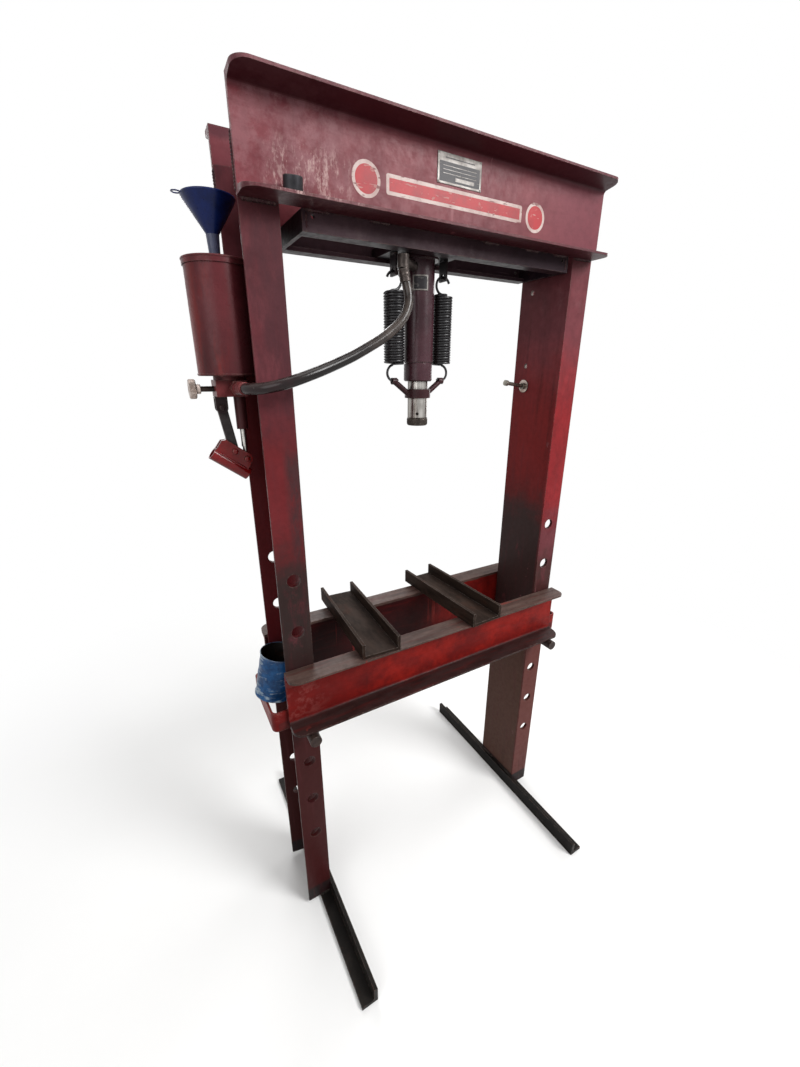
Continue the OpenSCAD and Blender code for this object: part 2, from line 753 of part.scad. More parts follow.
module pump_plunger() {
    color("#57534f") difference() {
        union() {
            translate([plunger_x, 0, drive_z]) {
                translate([0, 0, neck_l]) cylinder(d = plunger_d, h = plunger_top - drive_z - neck_l);
                cylinder(d = neck_d, h = neck_l + 1);
                bar_y(eye_d, link_t);
            }
        }
        translate([plunger_x, 0, drive_z]) bar_y(pivot_d + 2 * still_fit, link_t + 4);
    }
}
module valve_stem() {
    color("#6b6661") translate([block_x0 + valve_in - valve_l, 0, valve_z]) bar_x(valve_d, valve_l);
}
module release_knob() {
    hub_x = block_x0 + valve_in - valve_l;
    color("#a39d95") translate([hub_x, 0, valve_z]) {
        translate([-knob_t, 0, 0]) bar_x(knob_d, knob_t);
        difference() {
            bar_x(knob_hub_d, knob_hub_l);
            bar_x(valve_d + 2 * still_fit, knob_hub_l + 1);
        }
    }
}

// Bed
module bed_channel() { beam(bed_l, bed_z, bed_y, bed_h, bed_fl, bed_web, bed_tf); }
module front_bed_channel() { color("#97322d") mirror([0, 1, 0]) bed_channel(); }
module rear_bed_channel() { color("#97322d") bed_channel(); }
module strap_plan(x, y, bend) {
    translate([0, -y]) square([x - bend, 2 * y]);
    translate([0, bend - y]) square([x, 2 * (y - bend)]);
    for (s = [-1, 1]) translate([x - bend, s * (y - bend)]) circle(bend);
}
module bed_strap(side) {
    inner_x = bed_l / 2 - strap_lap;
    mirror([side < 0 ? 1 : 0, 0, 0]) translate([0, 0, strap_z]) linear_extrude(strap_h) difference() {
        strap_plan(strap_x + strap_t, bed_y, strap_bend + strap_t);
        strap_plan(strap_x, bed_y - strap_t, strap_bend);
        translate([0, -bed_y]) square([inner_x, 2 * bed_y]);
    }
}
module left_bed_strap() { color("#8c2a26") bed_strap(-1); }
module right_bed_strap() { color("#8c2a26") bed_strap(1); }
module bolster(k) {
    translate([bolster_at[k][0], bolster_at[k][1], bed_top]) rotate([0, 0, bolster_turn[k]])
        translate([-bolster_w / 2, -bolster_l / 2, 0]) rotate([-90, 0, 0]) mirror([0, 1, 0])
            linear_extrude(bolster_l) difference() {
                square([bolster_w, bolster_h]);
                translate([bolster_t, bolster_t]) square([bolster_w - 2 * bolster_t, bolster_h]);
            }
}
module left_bolster() { color("#3b3633") bolster(0); }
module right_bolster() { color("#3b3633") bolster(1); }
module bed_pin(side) { translate([side * pin_x, 0, pin_z]) bar_y(pin_d, pin_l); }
module left_bed_pin() { color("#2c2725") bed_pin(-1); }
module right_bed_pin() { color("#2c2725") bed_pin(1); }

// Loose things that lie or stand on the press
module funnel() {
    rim = funnel_d / 2;
    neck = stem_top_d / 2;
    end = stem_end_d / 2;
    color("#12205a") translate([pump_x, 0, funnel_z]) {
        rotate_extrude() polygon([[rim, funnel_h], [rim - funnel_wall, funnel_h], [neck - funnel_wall, 0],
            [end - funnel_wall, -stem_l], [end, -stem_l], [neck, 0], [rim, funnel_h - 2]]);
        translate([-rim - loop_d / 2 + loop_wire, 0, funnel_h - loop_wire / 2])
            rotate_extrude() translate([loop_d / 2 - loop_wire / 2, 0]) circle(d = loop_wire);
    }
}
module open_tin() {
    color("#2c5580") translate([-strap_x, 0, strap_top]) rotate([0, tin_tilt, 0])
        translate([tin_d / 2 - tin_over, 0, 0]) difference() {
            cylinder(d = tin_d, h = tin_h);
            translate([0, 0, tin_wall]) cylinder(d = tin_d - 2 * tin_wall, h = tin_h);
        }
}
module press_sleeve() {
    color("#33363b") translate([sleeve_at[0], sleeve_at[1], sleeve_z]) rotate([flange_slope, 0, 0])
        tube(sleeve_d, sleeve_d - 2 * sleeve_wall, sleeve_h);
}
module hanger_peg() {
    collar_x = -peg_washer_t - peg_collar_l;
    reach = peg_l + collar_x;
    color("#57504b") translate([web_x, web_hole_y, peg_z]) {
        translate([-peg_washer_t - 1, 0, 0]) bar_x(peg_d, peg_washer_t + col_web + peg_nut_h + 4);
        translate([collar_x, 0, 0]) bar_x(peg_collar_d, peg_collar_l);
        translate([collar_x / 2, 0, 0]) rotate([0, peg_lift, 0]) translate([-reach, 0, 0]) {
            bar_x(peg_d, reach);
            translate([-peg_knob_l, 0, 0]) bar_x(peg_knob_d, peg_knob_l);
        }
    }
}
module peg_washer() {
    color("#8b857d") translate([web_x - peg_washer_t, web_hole_y, peg_z]) rotate([0, 90, 0])
        tube(peg_washer_d, peg_d + 2 * still_fit, peg_washer_t);
}
module peg_nut() {
    color("#57504b") translate([web_x + col_web, web_hole_y, peg_z]) rotate([0, 90, 0]) difference() {
        cylinder(d = peg_nut_w * 2 / sqrt(3), h = peg_nut_h, $fn = 6);
        translate([0, 0, -1]) cylinder(d = peg_d + 2 * still_fit, h = peg_nut_h + 2);
    }
}
module name_plate_blank() {
    color("#a9a6a2") translate([name_plate_at[0] - name_plate[0] / 2, -(col_d / 2 + head_web + name_plate[1]),
        name_plate_at[1] - name_plate[2] / 2]) cube(name_plate);
}

left_column();
right_column();
left_foot();
right_foot();
front_head_beam();
rear_head_beam();
front_mount_rail();
rear_mount_rail();
left_rail_end();
right_rail_end();
cylinder_mount_plate();
cylinder_barrel();
cylinder_end_cap();
cylinder_lock_ring();
cylinder_gland();
rod_seal();
cylinder_label();
left_spring_hanger();
right_spring_hanger();
left_return_spring();
right_return_spring();
hose_elbow();
oil_hose();
pump_hose_fitting();
pump_bracket();
valve_block();
oil_tank();
tank_lid();
plunger_barrel();
link_lug();
lug_pin();
funnel();
hanger_peg();
peg_washer();
peg_nut();
press_sleeve();
name_plate_blank();
ram_rod();
ram_piston();
piston_seal();
spring_yoke();
ram_nose();
front_bed_channel();
rear_bed_channel();
left_bed_strap();
right_bed_strap();
left_bolster();
right_bolster();
open_tin();
left_bed_pin();
right_bed_pin();
pump_link();
lever_socket();
fulcrum_pin();
pump_plunger();
plunger_pin();
valve_stem();
release_knob();
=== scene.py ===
"""Looks of the hydraulic press: finishes, hose, coil springs, welds and small fittings."""

import math

import bpy
from mathutils import Matrix, Vector, noise


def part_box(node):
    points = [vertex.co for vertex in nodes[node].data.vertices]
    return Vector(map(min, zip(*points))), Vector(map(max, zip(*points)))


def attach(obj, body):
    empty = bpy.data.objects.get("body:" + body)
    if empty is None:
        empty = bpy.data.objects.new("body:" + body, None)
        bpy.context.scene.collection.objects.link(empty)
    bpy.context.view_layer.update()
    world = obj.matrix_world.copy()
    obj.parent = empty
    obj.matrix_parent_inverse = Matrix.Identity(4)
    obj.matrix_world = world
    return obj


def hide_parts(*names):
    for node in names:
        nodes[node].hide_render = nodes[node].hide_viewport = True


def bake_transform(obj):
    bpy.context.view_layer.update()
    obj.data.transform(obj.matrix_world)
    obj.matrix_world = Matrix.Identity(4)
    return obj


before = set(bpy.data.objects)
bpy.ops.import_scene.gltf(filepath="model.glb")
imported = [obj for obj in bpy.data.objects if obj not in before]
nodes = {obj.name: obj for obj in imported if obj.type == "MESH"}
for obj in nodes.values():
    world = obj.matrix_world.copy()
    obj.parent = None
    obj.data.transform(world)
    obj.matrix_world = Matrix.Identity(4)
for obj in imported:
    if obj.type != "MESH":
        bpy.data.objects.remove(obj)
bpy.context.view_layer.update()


# Places of the solids, in metres

def low(node):
    return Vector(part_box(node)[0])


def high(node):
    return Vector(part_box(node)[1])


def middle(node):
    return (low(node) + high(node)) / 2


RAM = middle("ram_rod")
TANK = middle("oil_tank")
WEB_X = low("right_column").x
COLUMN_EDGE = high("right_column").x
COLUMN_FACE = high("right_column").y
COLUMN_TOP = high("right_column").z
HEAD_Z = low("front_head_beam").z
HEAD_FRONT = high("name_plate_blank").y
BED_Z = low("front_bed_channel").z
BED_TOP = high("front_bed_channel").z
BED_INNER = -high("front_bed_channel").y

# Sizes that the boxes of the solids don't give
COLUMN_WEB = 0.009
STRAP_T = 0.005
HOSE_D = 0.020

# Small holes in the column webs: their row, a radius just outside their walls, their drops below the head
HOLE_Y = middle("peg_washer").y
HOLE_R = 0.00605
HOLE_DROPS = (0.060, 0.243)

# Centreline of the hose, from the elbow at the cylinder to the fitting at the pump
HOSE_ROUTE = [
    (-0.104, -0.058, 1.650), (-0.100, -0.059, 1.632), (-0.095, -0.062, 1.611), (-0.096, -0.067, 1.589),
    (-0.106, -0.073, 1.567), (-0.124, -0.080, 1.547), (-0.150, -0.089, 1.529), (-0.180, -0.098, 1.512),
    (-0.212, -0.108, 1.497), (-0.246, -0.119, 1.482), (-0.280, -0.129, 1.469), (-0.314, -0.138, 1.457),
    (-0.344, -0.143, 1.447), (-0.372, -0.144, 1.438), (-0.396, -0.139, 1.431), (-0.418, -0.126, 1.426),
    (-0.435, -0.106, 1.424), (-0.445, -0.084, 1.424), (-0.447, -0.064, 1.424)]


# Shapes

def link(obj):
    bpy.context.scene.collection.objects.link(obj)
    return obj


def mesh_object(name, verts, faces):
    """A smooth-shaded mesh with hard edges above 35 degrees."""
    mesh = bpy.data.meshes.new(name)
    mesh.from_pydata([tuple(v) for v in verts], [], faces)
    mesh.polygons.foreach_set("use_smooth", [True] * len(mesh.polygons))
    mesh.set_sharp_from_angle(angle=math.radians(35))
    mesh.update()
    return link(bpy.data.objects.new(name, mesh))


def joined(name, parts):
    """One object from several (vertices, faces) pairs."""
    verts, faces = [], []
    for part_verts, part_faces in parts:
        base = len(verts)
        verts += part_verts
        faces += [tuple(base + i for i in face) for face in part_faces]
    return mesh_object(name, verts, faces)


def at(x, y, z):
    return Matrix.Translation((x, y, z))


def smooth_line(points, steps):
    """Points on a Catmull-Rom curve through the given ones."""
    p = [Vector(v) for v in points]
    p = [2 * p[0] - p[1], *p, 2 * p[-1] - p[-2]]
    line = []
    for k in range(1, len(p) - 2):
        a, b, c, d = p[k - 1:k + 3]
        for i in range(steps):
            t = i / steps
            line.append(0.5 * (2 * b + (c - a) * t + (2 * a - 5 * b + 4 * c - d) * t * t
                               + (3 * b - a - 3 * c + d) * t ** 3))
    return [*line, p[-2]]


def sweep(path, radius, sides):
    """Closed tube along path; radius is a length, or a function of the ring's number."""
    verts, faces = [], []
    last = len(path) - 1
    tangent = (path[1] - path[0]).normalized()
    side = tangent.orthogonal().normalized()
    for k, point in enumerate(path):
        ahead = (path[min(k + 1, last)] - path[max(k - 1, 0)]).normalized()
        side = (tangent.rotation_difference(ahead) @ side).normalized()
        tangent = ahead
        other = tangent.cross(side)
        r = radius(k) if callable(radius) else radius
        for j in range(sides):
            a = 2 * math.pi * j / sides
            verts.append(point + r * (math.cos(a) * side + math.sin(a) * other))
    for k in range(last):
        for j in range(sides):
            a, b = k * sides + j, k * sides + (j + 1) % sides
            faces.append((a, b, b + sides, a + sides))
    faces.append(tuple(range(sides - 1, -1, -1)))
    faces.append(tuple(range(last * sides, last * sides + sides)))
    return verts, faces


def turned(profile, place, segments=64, wave=None, ends="capped"):
    """Turned shape: profile points (radius, height) about the Z axis of the matrix place.
    wave(angle, radius, height) gives a changed radius, for knurls and dents.
    The ends are capped, joined to each other (a ring) or left open."""
    verts, faces = [], []
    rows = len(profile)
    for i in range(segments):
        a = 2 * math.pi * i / segments
        for r, z in profile:
            r = wave(a, r, z) if wave else r
            verts.append(place @ Vector((r * math.cos(a), r * math.sin(a), z)))
    for i in range(segments):
        n = (i + 1) % segments
        for j in range(rows if ends == "ring" else rows - 1):
            m = (j + 1) % rows
            faces.append((i * rows + j, n * rows + j, n * rows + m, i * rows + m))
    if ends == "capped":
        faces.append(tuple(i * rows for i in range(segments - 1, -1, -1)))
        faces.append(tuple(i * rows + rows - 1 for i in range(segments)))
    return verts, faces


def knurl(count, depth):
    return lambda a, r, z: r - depth * (0.5 - 0.5 * math.cos(count * a))


def dome(centre, direction, radius, rise):
    """Rivet head on a face."""
    rings = 5
    arcs = [math.radians(90 * k / rings) for k in range(rings)]
    profile = [(radius, -rise / 4)] + [(radius * math.cos(a), rise * math.sin(a)) for a in arcs]
    turn = Vector((0, 0, 1)).rotation_difference(Vector(direction)).to_matrix().to_4x4()
    return turned(profile, Matrix.Translation(centre) @ turn, 20)


def panel(centre, width, height, corner, thickness):
    """Thin upright plate in the XZ plane with rounded corners.
    Its back is at centre and its front faces -Y."""
    outline = []
    for sx, sz, start in ((1, 1, 0), (-1, 1, 90), (-1, -1, 180), (1, -1, 270)):
        for k in range(9):
            a = math.radians(start + 90 * k / 8)
            outline.append((sx * (width / 2 - corner) + corner * math.cos(a),
                            sz * (height / 2 - corner) + corner * math.sin(a)))
    n = len(outline)
    verts = [Vector(centre) + Vector((x, y, z)) for y in (0, -thickness) for x, z in outline]
    faces = [tuple(range(n)), tuple(range(2 * n - 1, n - 1, -1))]
    faces += [(k, k + n, (k + 1) % n + n, (k + 1) % n) for k in range(n)]
    return verts, faces


BEAD_STEP = 0.0012
RIPPLE_STEPS = 4


def bead(a, b, radius):
    """Rippled weld bead from a to b, tapered over one ripple at both ends."""
    a, b = Vector(a), Vector(b)
    steps = max(8, int((b - a).length / BEAD_STEP))
    path = [a.lerp(b, k / steps) for k in range(steps + 1)]

    def swell(k):
        end = min(1.0, (k + 1) / RIPPLE_STEPS, (steps - k + 1) / RIPPLE_STEPS)
        ripple = 0.14 * math.cos(2 * math.pi * k / RIPPLE_STEPS)
        return radius * end * (1 + ripple + 0.25 * noise.noise(40 * path[k]))

    return sweep(path, swell, 8)


# Camera

def make_camera():
    data = bpy.data.cameras.new("camera")
    data.sensor_width = 36.0
    data.lens = 14.871
    data.clip_start = 0.05
    camera = link(bpy.data.objects.new("camera", data))
    camera.location = (-0.6175, -0.9376, 1.4511)
    camera.rotation_euler = [math.radians(a) for a in (70.001, -0.159, -29.948)]
    bpy.context.scene.camera = camera


# Material building

def linear(value):
    """Linear share of one display value, 0 to 255, by the sRGB curve."""
    share = value / 255
    return share / 12.92 if share <= 0.04045 else ((share + 0.055) / 1.055) ** 2.4


def rgb(r, g, b):
    """A display colour, 0 to 255, as the linear colour that a shader takes."""
    return (linear(r), linear(g), linear(b), 1.0)


BARE_STEEL = rgb(112, 103, 97)
# Dirt colour, also used as painted shade in the corners of bare metal
GRIME_AND_SHADE = rgb(30, 23, 22)
RUST = rgb(82, 46, 33)
DUST = rgb(128, 112, 106)
BLACK_PAINT = rgb(32, 29, 29)
SOFT_EDGE = 0.0012


class Shader:
    """One procedural material. Its methods add nodes and return output sockets.
    Places and facings are those at rest, whatever the pose."""

    def __init__(self, name):
        self.mat = bpy.data.materials.new(name)
        self.mat.use_nodes = True
        self.nodes, self.links = self.mat.node_tree.nodes, self.mat.node_tree.links
        self.bsdf = self.nodes["Principled BSDF"]
        coords = self.nodes.new("ShaderNodeTexCoord")
        self.place = coords.outputs["Object"]
        self.x, self.y, self.z = self.node("ShaderNodeSeparateXYZ", {0: self.place}).outputs
        self.facing = self.node("ShaderNodeSeparateXYZ", {0: coords.outputs["Normal"]}).outputs

    def put(self, socket, value):
        if isinstance(value, bpy.types.NodeSocket):
            self.links.new(value, socket)
        else:
            socket.default_value = value

    def node(self, kind, inputs, **settings):
        made = self.nodes.new(kind)
        for key, value in settings.items():
            setattr(made, key, value)
        for key, value in inputs.items():
            self.put(made.inputs[key], value)
        return made

    def noise(self, scale, detail=3.0, rough=0.55, stretch=(1, 1, 1), shift=0.0):
        mapping = {"Vector": self.place, "Scale": stretch, "Location": (shift, shift, shift)}
        place = self.node("ShaderNodeMapping", mapping).outputs[0]
        inputs = {"Vector": place, "Scale": scale, "Detail": detail, "Roughness": rough}
        return self.node("ShaderNodeTexNoise", inputs).outputs[0]

    def span(self, value, start, end):
        """Smooth step from 0 at start to 1 at end."""
        inputs = {0: value, 1: start, 2: end}
        return self.node("ShaderNodeMapRange", inputs, interpolation_type="SMOOTHSTEP").outputs[0]

    def calc(self, operation, a, b):
        return self.node("ShaderNodeMath", {0: a, 1: b}, operation=operation).outputs[0]

    def both(self, *masks):
        share = masks[0]
        for mask in masks[1:]:
            share = self.calc("MULTIPLY", share, mask)
        return share

    def either(self, *masks):
        share = masks[0]
        for mask in masks[1:]:
            share = self.calc("MAXIMUM", share, mask)
        return share

    def mix(self, share, a, b):
        return self.node("ShaderNodeMix", {0: share, 6: a, 7: b}, data_type="RGBA").outputs[2]

    def edges(self, radius):
        """1 along edges and corners, 0 on flats."""
        rounded = self.node("ShaderNodeBevel", {"Radius": radius}, samples=4).outputs[0]
        flat = self.nodes.new("ShaderNodeNewGeometry").outputs["Normal"]
        inputs = {0: rounded, 1: flat}
        dot = self.node("ShaderNodeVectorMath", inputs, operation="DOT_PRODUCT").outputs["Value"]
        return self.span(dot, 0.99, 0.86)

    def crevice_shade(self, distance):
        """1 deep in corners and under overlaps, where shade falls, 0 in the open. It paints shade there."""
        shade = self.node("ShaderNodeAmbientOcclusion", {"Distance": distance}, samples=4).outputs["AO"]
        return self.span(shade, 0.85, 0.35)

    def scratches(self, scale, cut, stretch, shift=0.0):
        """Thin broken lines, drawn out along the axis with the smallest stretch."""
        return self.span(self.noise(scale, 2.0, 0.5, stretch, shift), cut, cut + 0.03)

    def within(self, y, z, radius):
        """1 inside a cylinder along X, which picks out the wall of a hole drilled there."""
        across = self.node("ShaderNodeCombineXYZ", {"Y": self.y, "Z": self.z}).outputs[0]
        inputs = {0: across, 1: (0, y, z)}
        distance = self.node("ShaderNodeVectorMath", inputs, operation="DISTANCE").outputs["Value"]
        return self.calc("LESS_THAN", distance, radius)

    def surface(self, colour, roughness, gloss, height, depth, strength, metallic=0.0, edge=SOFT_EDGE):
        """Sets the main inputs, with edges that look slightly rounded and a bump from height."""
        self.put(self.bsdf.inputs["Base Color"], colour)
        self.put(self.bsdf.inputs["Roughness"], roughness)
        self.put(self.bsdf.inputs["Specular IOR Level"], gloss)
        self.put(self.bsdf.inputs["Metallic"], metallic)
        inputs = {"Height": height, "Distance": depth, "Strength": strength}
        if edge:
            inputs["Normal"] = self.node("ShaderNodeBevel", {"Radius": edge}, samples=4).outputs[0]
        self.put(self.bsdf.inputs["Normal"], self.node("ShaderNodeBump", inputs).outputs[0])
        return self.mat


def worn_paint(name, base, dark, pale, along="z", zones=None, wear=0.6, grime_and_shade=0.5, rough=0.42, fade=0.45,
               gloss=0.15):
    """Old brushed paint: patchy tone, faded bloom, brush marks along one axis, dirt runs, painted shade in
    corners broken up like dirt, painted shade on faces that look down, scratches, rust pits, edges chipped
    to steel.
    zones(shader) gives (mask, colour) pairs that repaint parts of it."""
    s = Shader(name)
    deep = tuple(0.3 * c for c in dark[:3]) + (1.0,)
    brush = {"x": (0.08, 1, 1), "y": (1, 0.08, 1), "z": (1, 1, 0.08)}[along]
    colour = s.mix(s.span(s.noise(5, 6, 0.62), 0.36, 0.66), base, dark)
    bloom = s.span(s.noise(12, 7, 0.7, shift=3.0), 0.52, 0.72)
    colour = s.mix(s.both(bloom, fade), colour, pale)
    for mask, tint in zones(s) if zones else ():
        colour = s.mix(mask, colour, tint)
    strokes = s.noise(85, 4, 0.6, brush)
    colour = s.mix(s.both(s.span(strokes, 0.50, 0.72), 0.30), colour, dark)
    mottle = s.span(s.noise(70, 5, 0.72), 0.34, 0.72)
    colour = s.mix(s.both(mottle, 0.22), colour, deep)
    streaks = s.span(s.noise(26, 5, 0.66, (1, 1, 0.06), 7.0), 0.54, 0.74)
    runs = s.both(streaks, s.span(s.noise(4, 4, 0.6), 0.42, 0.60), 0.7)
    # Painted shade in corners and under overlaps, broken up by noise like dirt
    corners = s.both(s.crevice_shade(0.05), s.span(s.noise(22, 5, 0.7), 0.25, 0.6))
    dirt = s.both(runs, grime_and_shade)
    colour = s.mix(dirt, colour, GRIME_AND_SHADE)
    colour = s.mix(s.both(corners, grime_and_shade), colour, deep)
    # Painted shade: faces that look down are painted darker
    under = s.span(s.facing[2], -0.5, -0.95)
    colour = s.mix(s.both(under, 0.75), colour, deep)
    lines = s.either(s.scratches(42, 0.70, (1, 1, 0.05)), s.scratches(38, 0.71, (0.05, 1, 0.9), 5.0))
    colour = s.mix(s.both(lines, s.span(s.noise(7, 3, 0.5, shift=2.0), 0.45, 0.6), 0.5), colour, pale)
    pits = s.span(s.noise(230, 3, 0.6), 0.66, 0.72)
    colour = s.mix(s.both(pits, 0.4), colour, RUST)
    chip_noise = s.noise(80, 7, 0.74)
    chips = s.both(s.edges(0.004), s.span(chip_noise, 0.47, 0.55), wear)
    nicks = s.both(s.span(s.noise(30, 8, 0.78, shift=9.0), 0.70, 0.73), wear)
    bare = s.either(chips, nicks)
    colour = s.mix(bare, colour, s.mix(s.span(chip_noise, 0.48, 0.66), BARE_STEEL, RUST))
    sheen = s.calc("ADD", s.both(mottle, 0.16), s.calc("ADD", s.both(dirt, 0.25), rough - 0.08))
    relief = s.calc("ADD", s.both(strokes, 0.7), s.both(s.noise(380, 3, 0.6), 0.5))
    height = s.calc("SUBTRACT", relief, s.both(bare, 0.9))
    return s.surface(colour, sheen, gloss, height, depth=0.00045, strength=0.35, metallic=s.both(bare, 0.5))


def bare_metal(name, tone, dark, rough, metallic=0.8, stretch=(1, 1, 1), scale=40, rust=0.3, edge=SOFT_EDGE,
               gloss=0.2):
    """Metal without paint: grain, oily stains, rust bloom, painted shade in corners and edges rubbed
    bright.
    edge=0 leaves out the edges, for round pieces whose curve would count as one."""
    s = Shader(name)
    grain = s.noise(scale, 6, 0.68, stretch)
    colour = s.mix(s.span(grain, 0.36, 0.68), tone, dark)
    stain = s.span(s.noise(14, 6, 0.68), 0.54, 0.72)
    colour = s.mix(s.both(stain, rust), colour, RUST)
    oil = s.span(s.noise(9, 5, 0.62, shift=4.0), 0.52, 0.68)
    colour = s.mix(s.both(oil, 0.4), colour, dark)
    # Painted shade in corners and under overlaps
    colour = s.mix(s.both(s.crevice_shade(0.02), 0.85), colour, GRIME_AND_SHADE)
    if edge:
        rubbed = s.both(s.edges(0.0025), s.span(s.noise(90, 4, 0.7), 0.36, 0.56))
        colour = s.mix(s.both(rubbed, 0.8), colour, BARE_STEEL)
    sheen = s.calc("ADD", s.both(grain, 0.3), s.calc("SUBTRACT", rough - 0.13, s.both(oil, 0.1)))
    height = s.noise(scale * 8, 3, 0.6, stretch)
    return s.surface(colour, sheen, gloss, height, depth=0.00025, strength=0.3,
                     metallic=metallic, edge=edge)


# Painted zones

def head_zones(s):
    front = s.span(s.y, HEAD_FRONT + 0.02, HEAD_FRONT + 0.004)
    left = s.both(front, s.span(s.x, -0.19, -0.28))
    cloud = s.both(left, s.span(s.noise(20, 7, 0.72, shift=1.0), 0.40, 0.60))
    worn_low = s.both(left, s.span(s.x, -0.395, -0.36), s.span(s.z, HEAD_Z + 0.10, HEAD_Z + 0.06))
    scrapes = s.both(worn_low, s.span(s.noise(70, 7, 0.8, (1, 1, 0.35)), 0.50, 0.62))
    right = s.span(s.x, 0.16, 0.34)
    # Painted shade: the top flange, whose sloping underside is in shade, is painted darker
    top_flange_shade = s.span(s.z, HEAD_Z + 0.128, HEAD_Z + 0.140)
    lip = s.span(s.z, HEAD_Z + 0.012, HEAD_Z + 0.006)
    top = s.both(s.span(s.facing[2], 0.6, 0.9), s.span(s.noise(16, 6, 0.7), 0.35, 0.6))
    return [(s.both(right, 0.5), rgb(106, 54, 66)),
            # painted shade of the top flange
            (s.both(top_flange_shade, 0.6), rgb(66, 28, 38)),
            (s.both(lip, 0.6), rgb(46, 22, 30)),
            (s.both(cloud, 0.5), rgb(154, 108, 113)),
            (s.both(scrapes, 0.75), rgb(196, 164, 160)),
            (s.both(top, 0.6), DUST)]


def column_zones(s):
    z = s.calc("ADD", s.z, s.both(s.calc("SUBTRACT", s.noise(10, 6, 0.68), 0.5), 0.22))
    left, right = s.span(s.x, 0.02, -0.02), s.span(s.x, -0.02, 0.02)
    flange = s.span(s.y, -COLUMN_FACE + 0.008, -COLUMN_FACE + 0.002)
    web = s.span(s.y, -COLUMN_FACE + 0.002, -COLUMN_FACE + 0.008)
    red = s.both(s.span(z, 1.58, 1.34), s.span(z, 1.00, 1.12))
    red_left = s.both(s.span(z, 1.42, 1.28), s.span(z, 1.00, 1.12))
    rubbed = s.both(s.span(z, 0.60, 0.68), s.span(z, 1.16, 1.02))
    rub_noise = s.span(s.noise(16, 7, 0.72, (1, 1, 0.5)), 0.26, 0.46)
    below = s.span(z, 0.68, 0.60)
    smear = s.span(s.noise(7, 6, 0.7, (1, 1, 0.3), 6.0), 0.40, 0.58)
    hand = s.both(s.span(s.x, -WEB_X - 0.036, -WEB_X - 0.018),
                  s.span(z, 1.36, 1.28), s.span(z, 1.02, 1.10))
    hand_noise = s.span(s.noise(24, 6, 0.72, (1, 1, 0.25), 2.0), 0.36, 0.56)
    # Walls of the holes: bare drilled steel, painted near white, which also stands as a painted glint
    drilled = s.either(*[s.within(HOLE_Y, HEAD_Z - drop, HOLE_R) for drop in HOLE_DROPS])
    return [(s.both(left, smear, 0.85), rgb(76, 44, 49)),
            (s.both(red_left, flange, left, 0.75), rgb(110, 34, 36)),
            (s.both(hand, hand_noise, flange, left, 0.8), rgb(62, 48, 50)),
            (s.both(web, left, s.span(z, 1.62, 1.40), 0.8), rgb(84, 15, 16)),
            (s.both(red, flange, right, 0.85), rgb(152, 42, 45)),
            (s.both(red, web, right, 0.8), rgb(134, 36, 34)),
            (s.both(right, smear, 0.4), rgb(88, 34, 36)),
            (s.both(below, left, 0.9), rgb(56, 20, 18)),
            (s.both(below, flange, right, 0.8), rgb(100, 54, 46)),
            (s.both(below, web, right, 0.9), rgb(88, 62, 50)),
            (s.both(rubbed, flange, left, rub_noise, 0.95), rgb(46, 38, 36)),
            (s.both(rubbed, flange, right, rub_noise, s.span(z, 0.98, 0.88), 0.8), rgb(60, 40, 36)),
            (s.both(rubbed, web, right, rub_noise, 0.94), rgb(56, 45, 43)),
            # hole walls, bare steel with a painted glint
            (drilled, rgb(206, 196, 190)),
            (s.span(s.z, 0.060, 0.052), BLACK_PAINT)]


def rail_zones(s):
    # Painted shade: the ends that face -X are painted near black
    end = s.span(s.facing[0], -0.5, -0.9)
    return [(s.both(s.span(s.x, 0.0, 0.26), 0.7), rgb(36, 26, 34)),
            (s.both(end, 0.95), rgb(22, 15, 20))]


def bed_zones(s):
    soft = s.both(s.calc("SUBTRACT", s.noise(26, 6, 0.7), 0.5), 0.010)
    z = s.calc("ADD", s.z, soft)
    web = s.both(s.span(z, BED_Z + 0.016, BED_Z + 0.024), s.span(z, BED_TOP - 0.004, BED_TOP - 0.012))
    bright = s.both(web, s.span(s.x, -0.36, -0.16), s.span(s.noise(9, 6, 0.68), 0.42, 0.60))
    soot = s.span(s.noise(8, 6, 0.7, (0.6, 1, 1), 8.0), 0.44, 0.64)
    scuffed = s.both(web, s.span(s.x, -0.30, -0.40), s.span(s.noise(40, 6, 0.75), 0.46, 0.6))
    grain_top = s.span(s.noise(60, 6, 0.7, (0.12, 1, 1)), 0.35, 0.7)
    steel_top = s.mix(grain_top, rgb(92, 75, 69), rgb(60, 47, 43))
    grain_low = s.span(s.noise(30, 6, 0.7, (0.3, 1, 1)), 0.35, 0.7)
    steel_low = s.mix(grain_low, rgb(46, 38, 37), rgb(28, 22, 21))
    flanges = s.span(s.calc("ABSOLUTE", s.y, 0.0), BED_INNER - 0.0005, BED_INNER + 0.0005)
    # Painted shade: the rear channel's inner face, between the channels, painted near black, darkest
    # towards the left
    inside = s.both(s.span(s.y, 0.02, 0.06), s.span(s.facing[1], -0.3, -0.8), s.span(s.x, 0.34, -0.06))
    return [(s.both(soot, 0.55), rgb(84, 20, 20)),
            (s.both(bright, 0.5), rgb(164, 36, 27)),
            (s.both(scuffed, 0.5), rgb(146, 76, 72)),
            (s.both(inside, 0.92), rgb(24, 5, 7)),
            (s.span(z, BED_TOP - 0.010, BED_TOP - 0.006), steel_top),
            (s.both(flanges, s.span(z, BED_Z + 0.018, BED_Z + 0.012), 0.95), steel_low)]


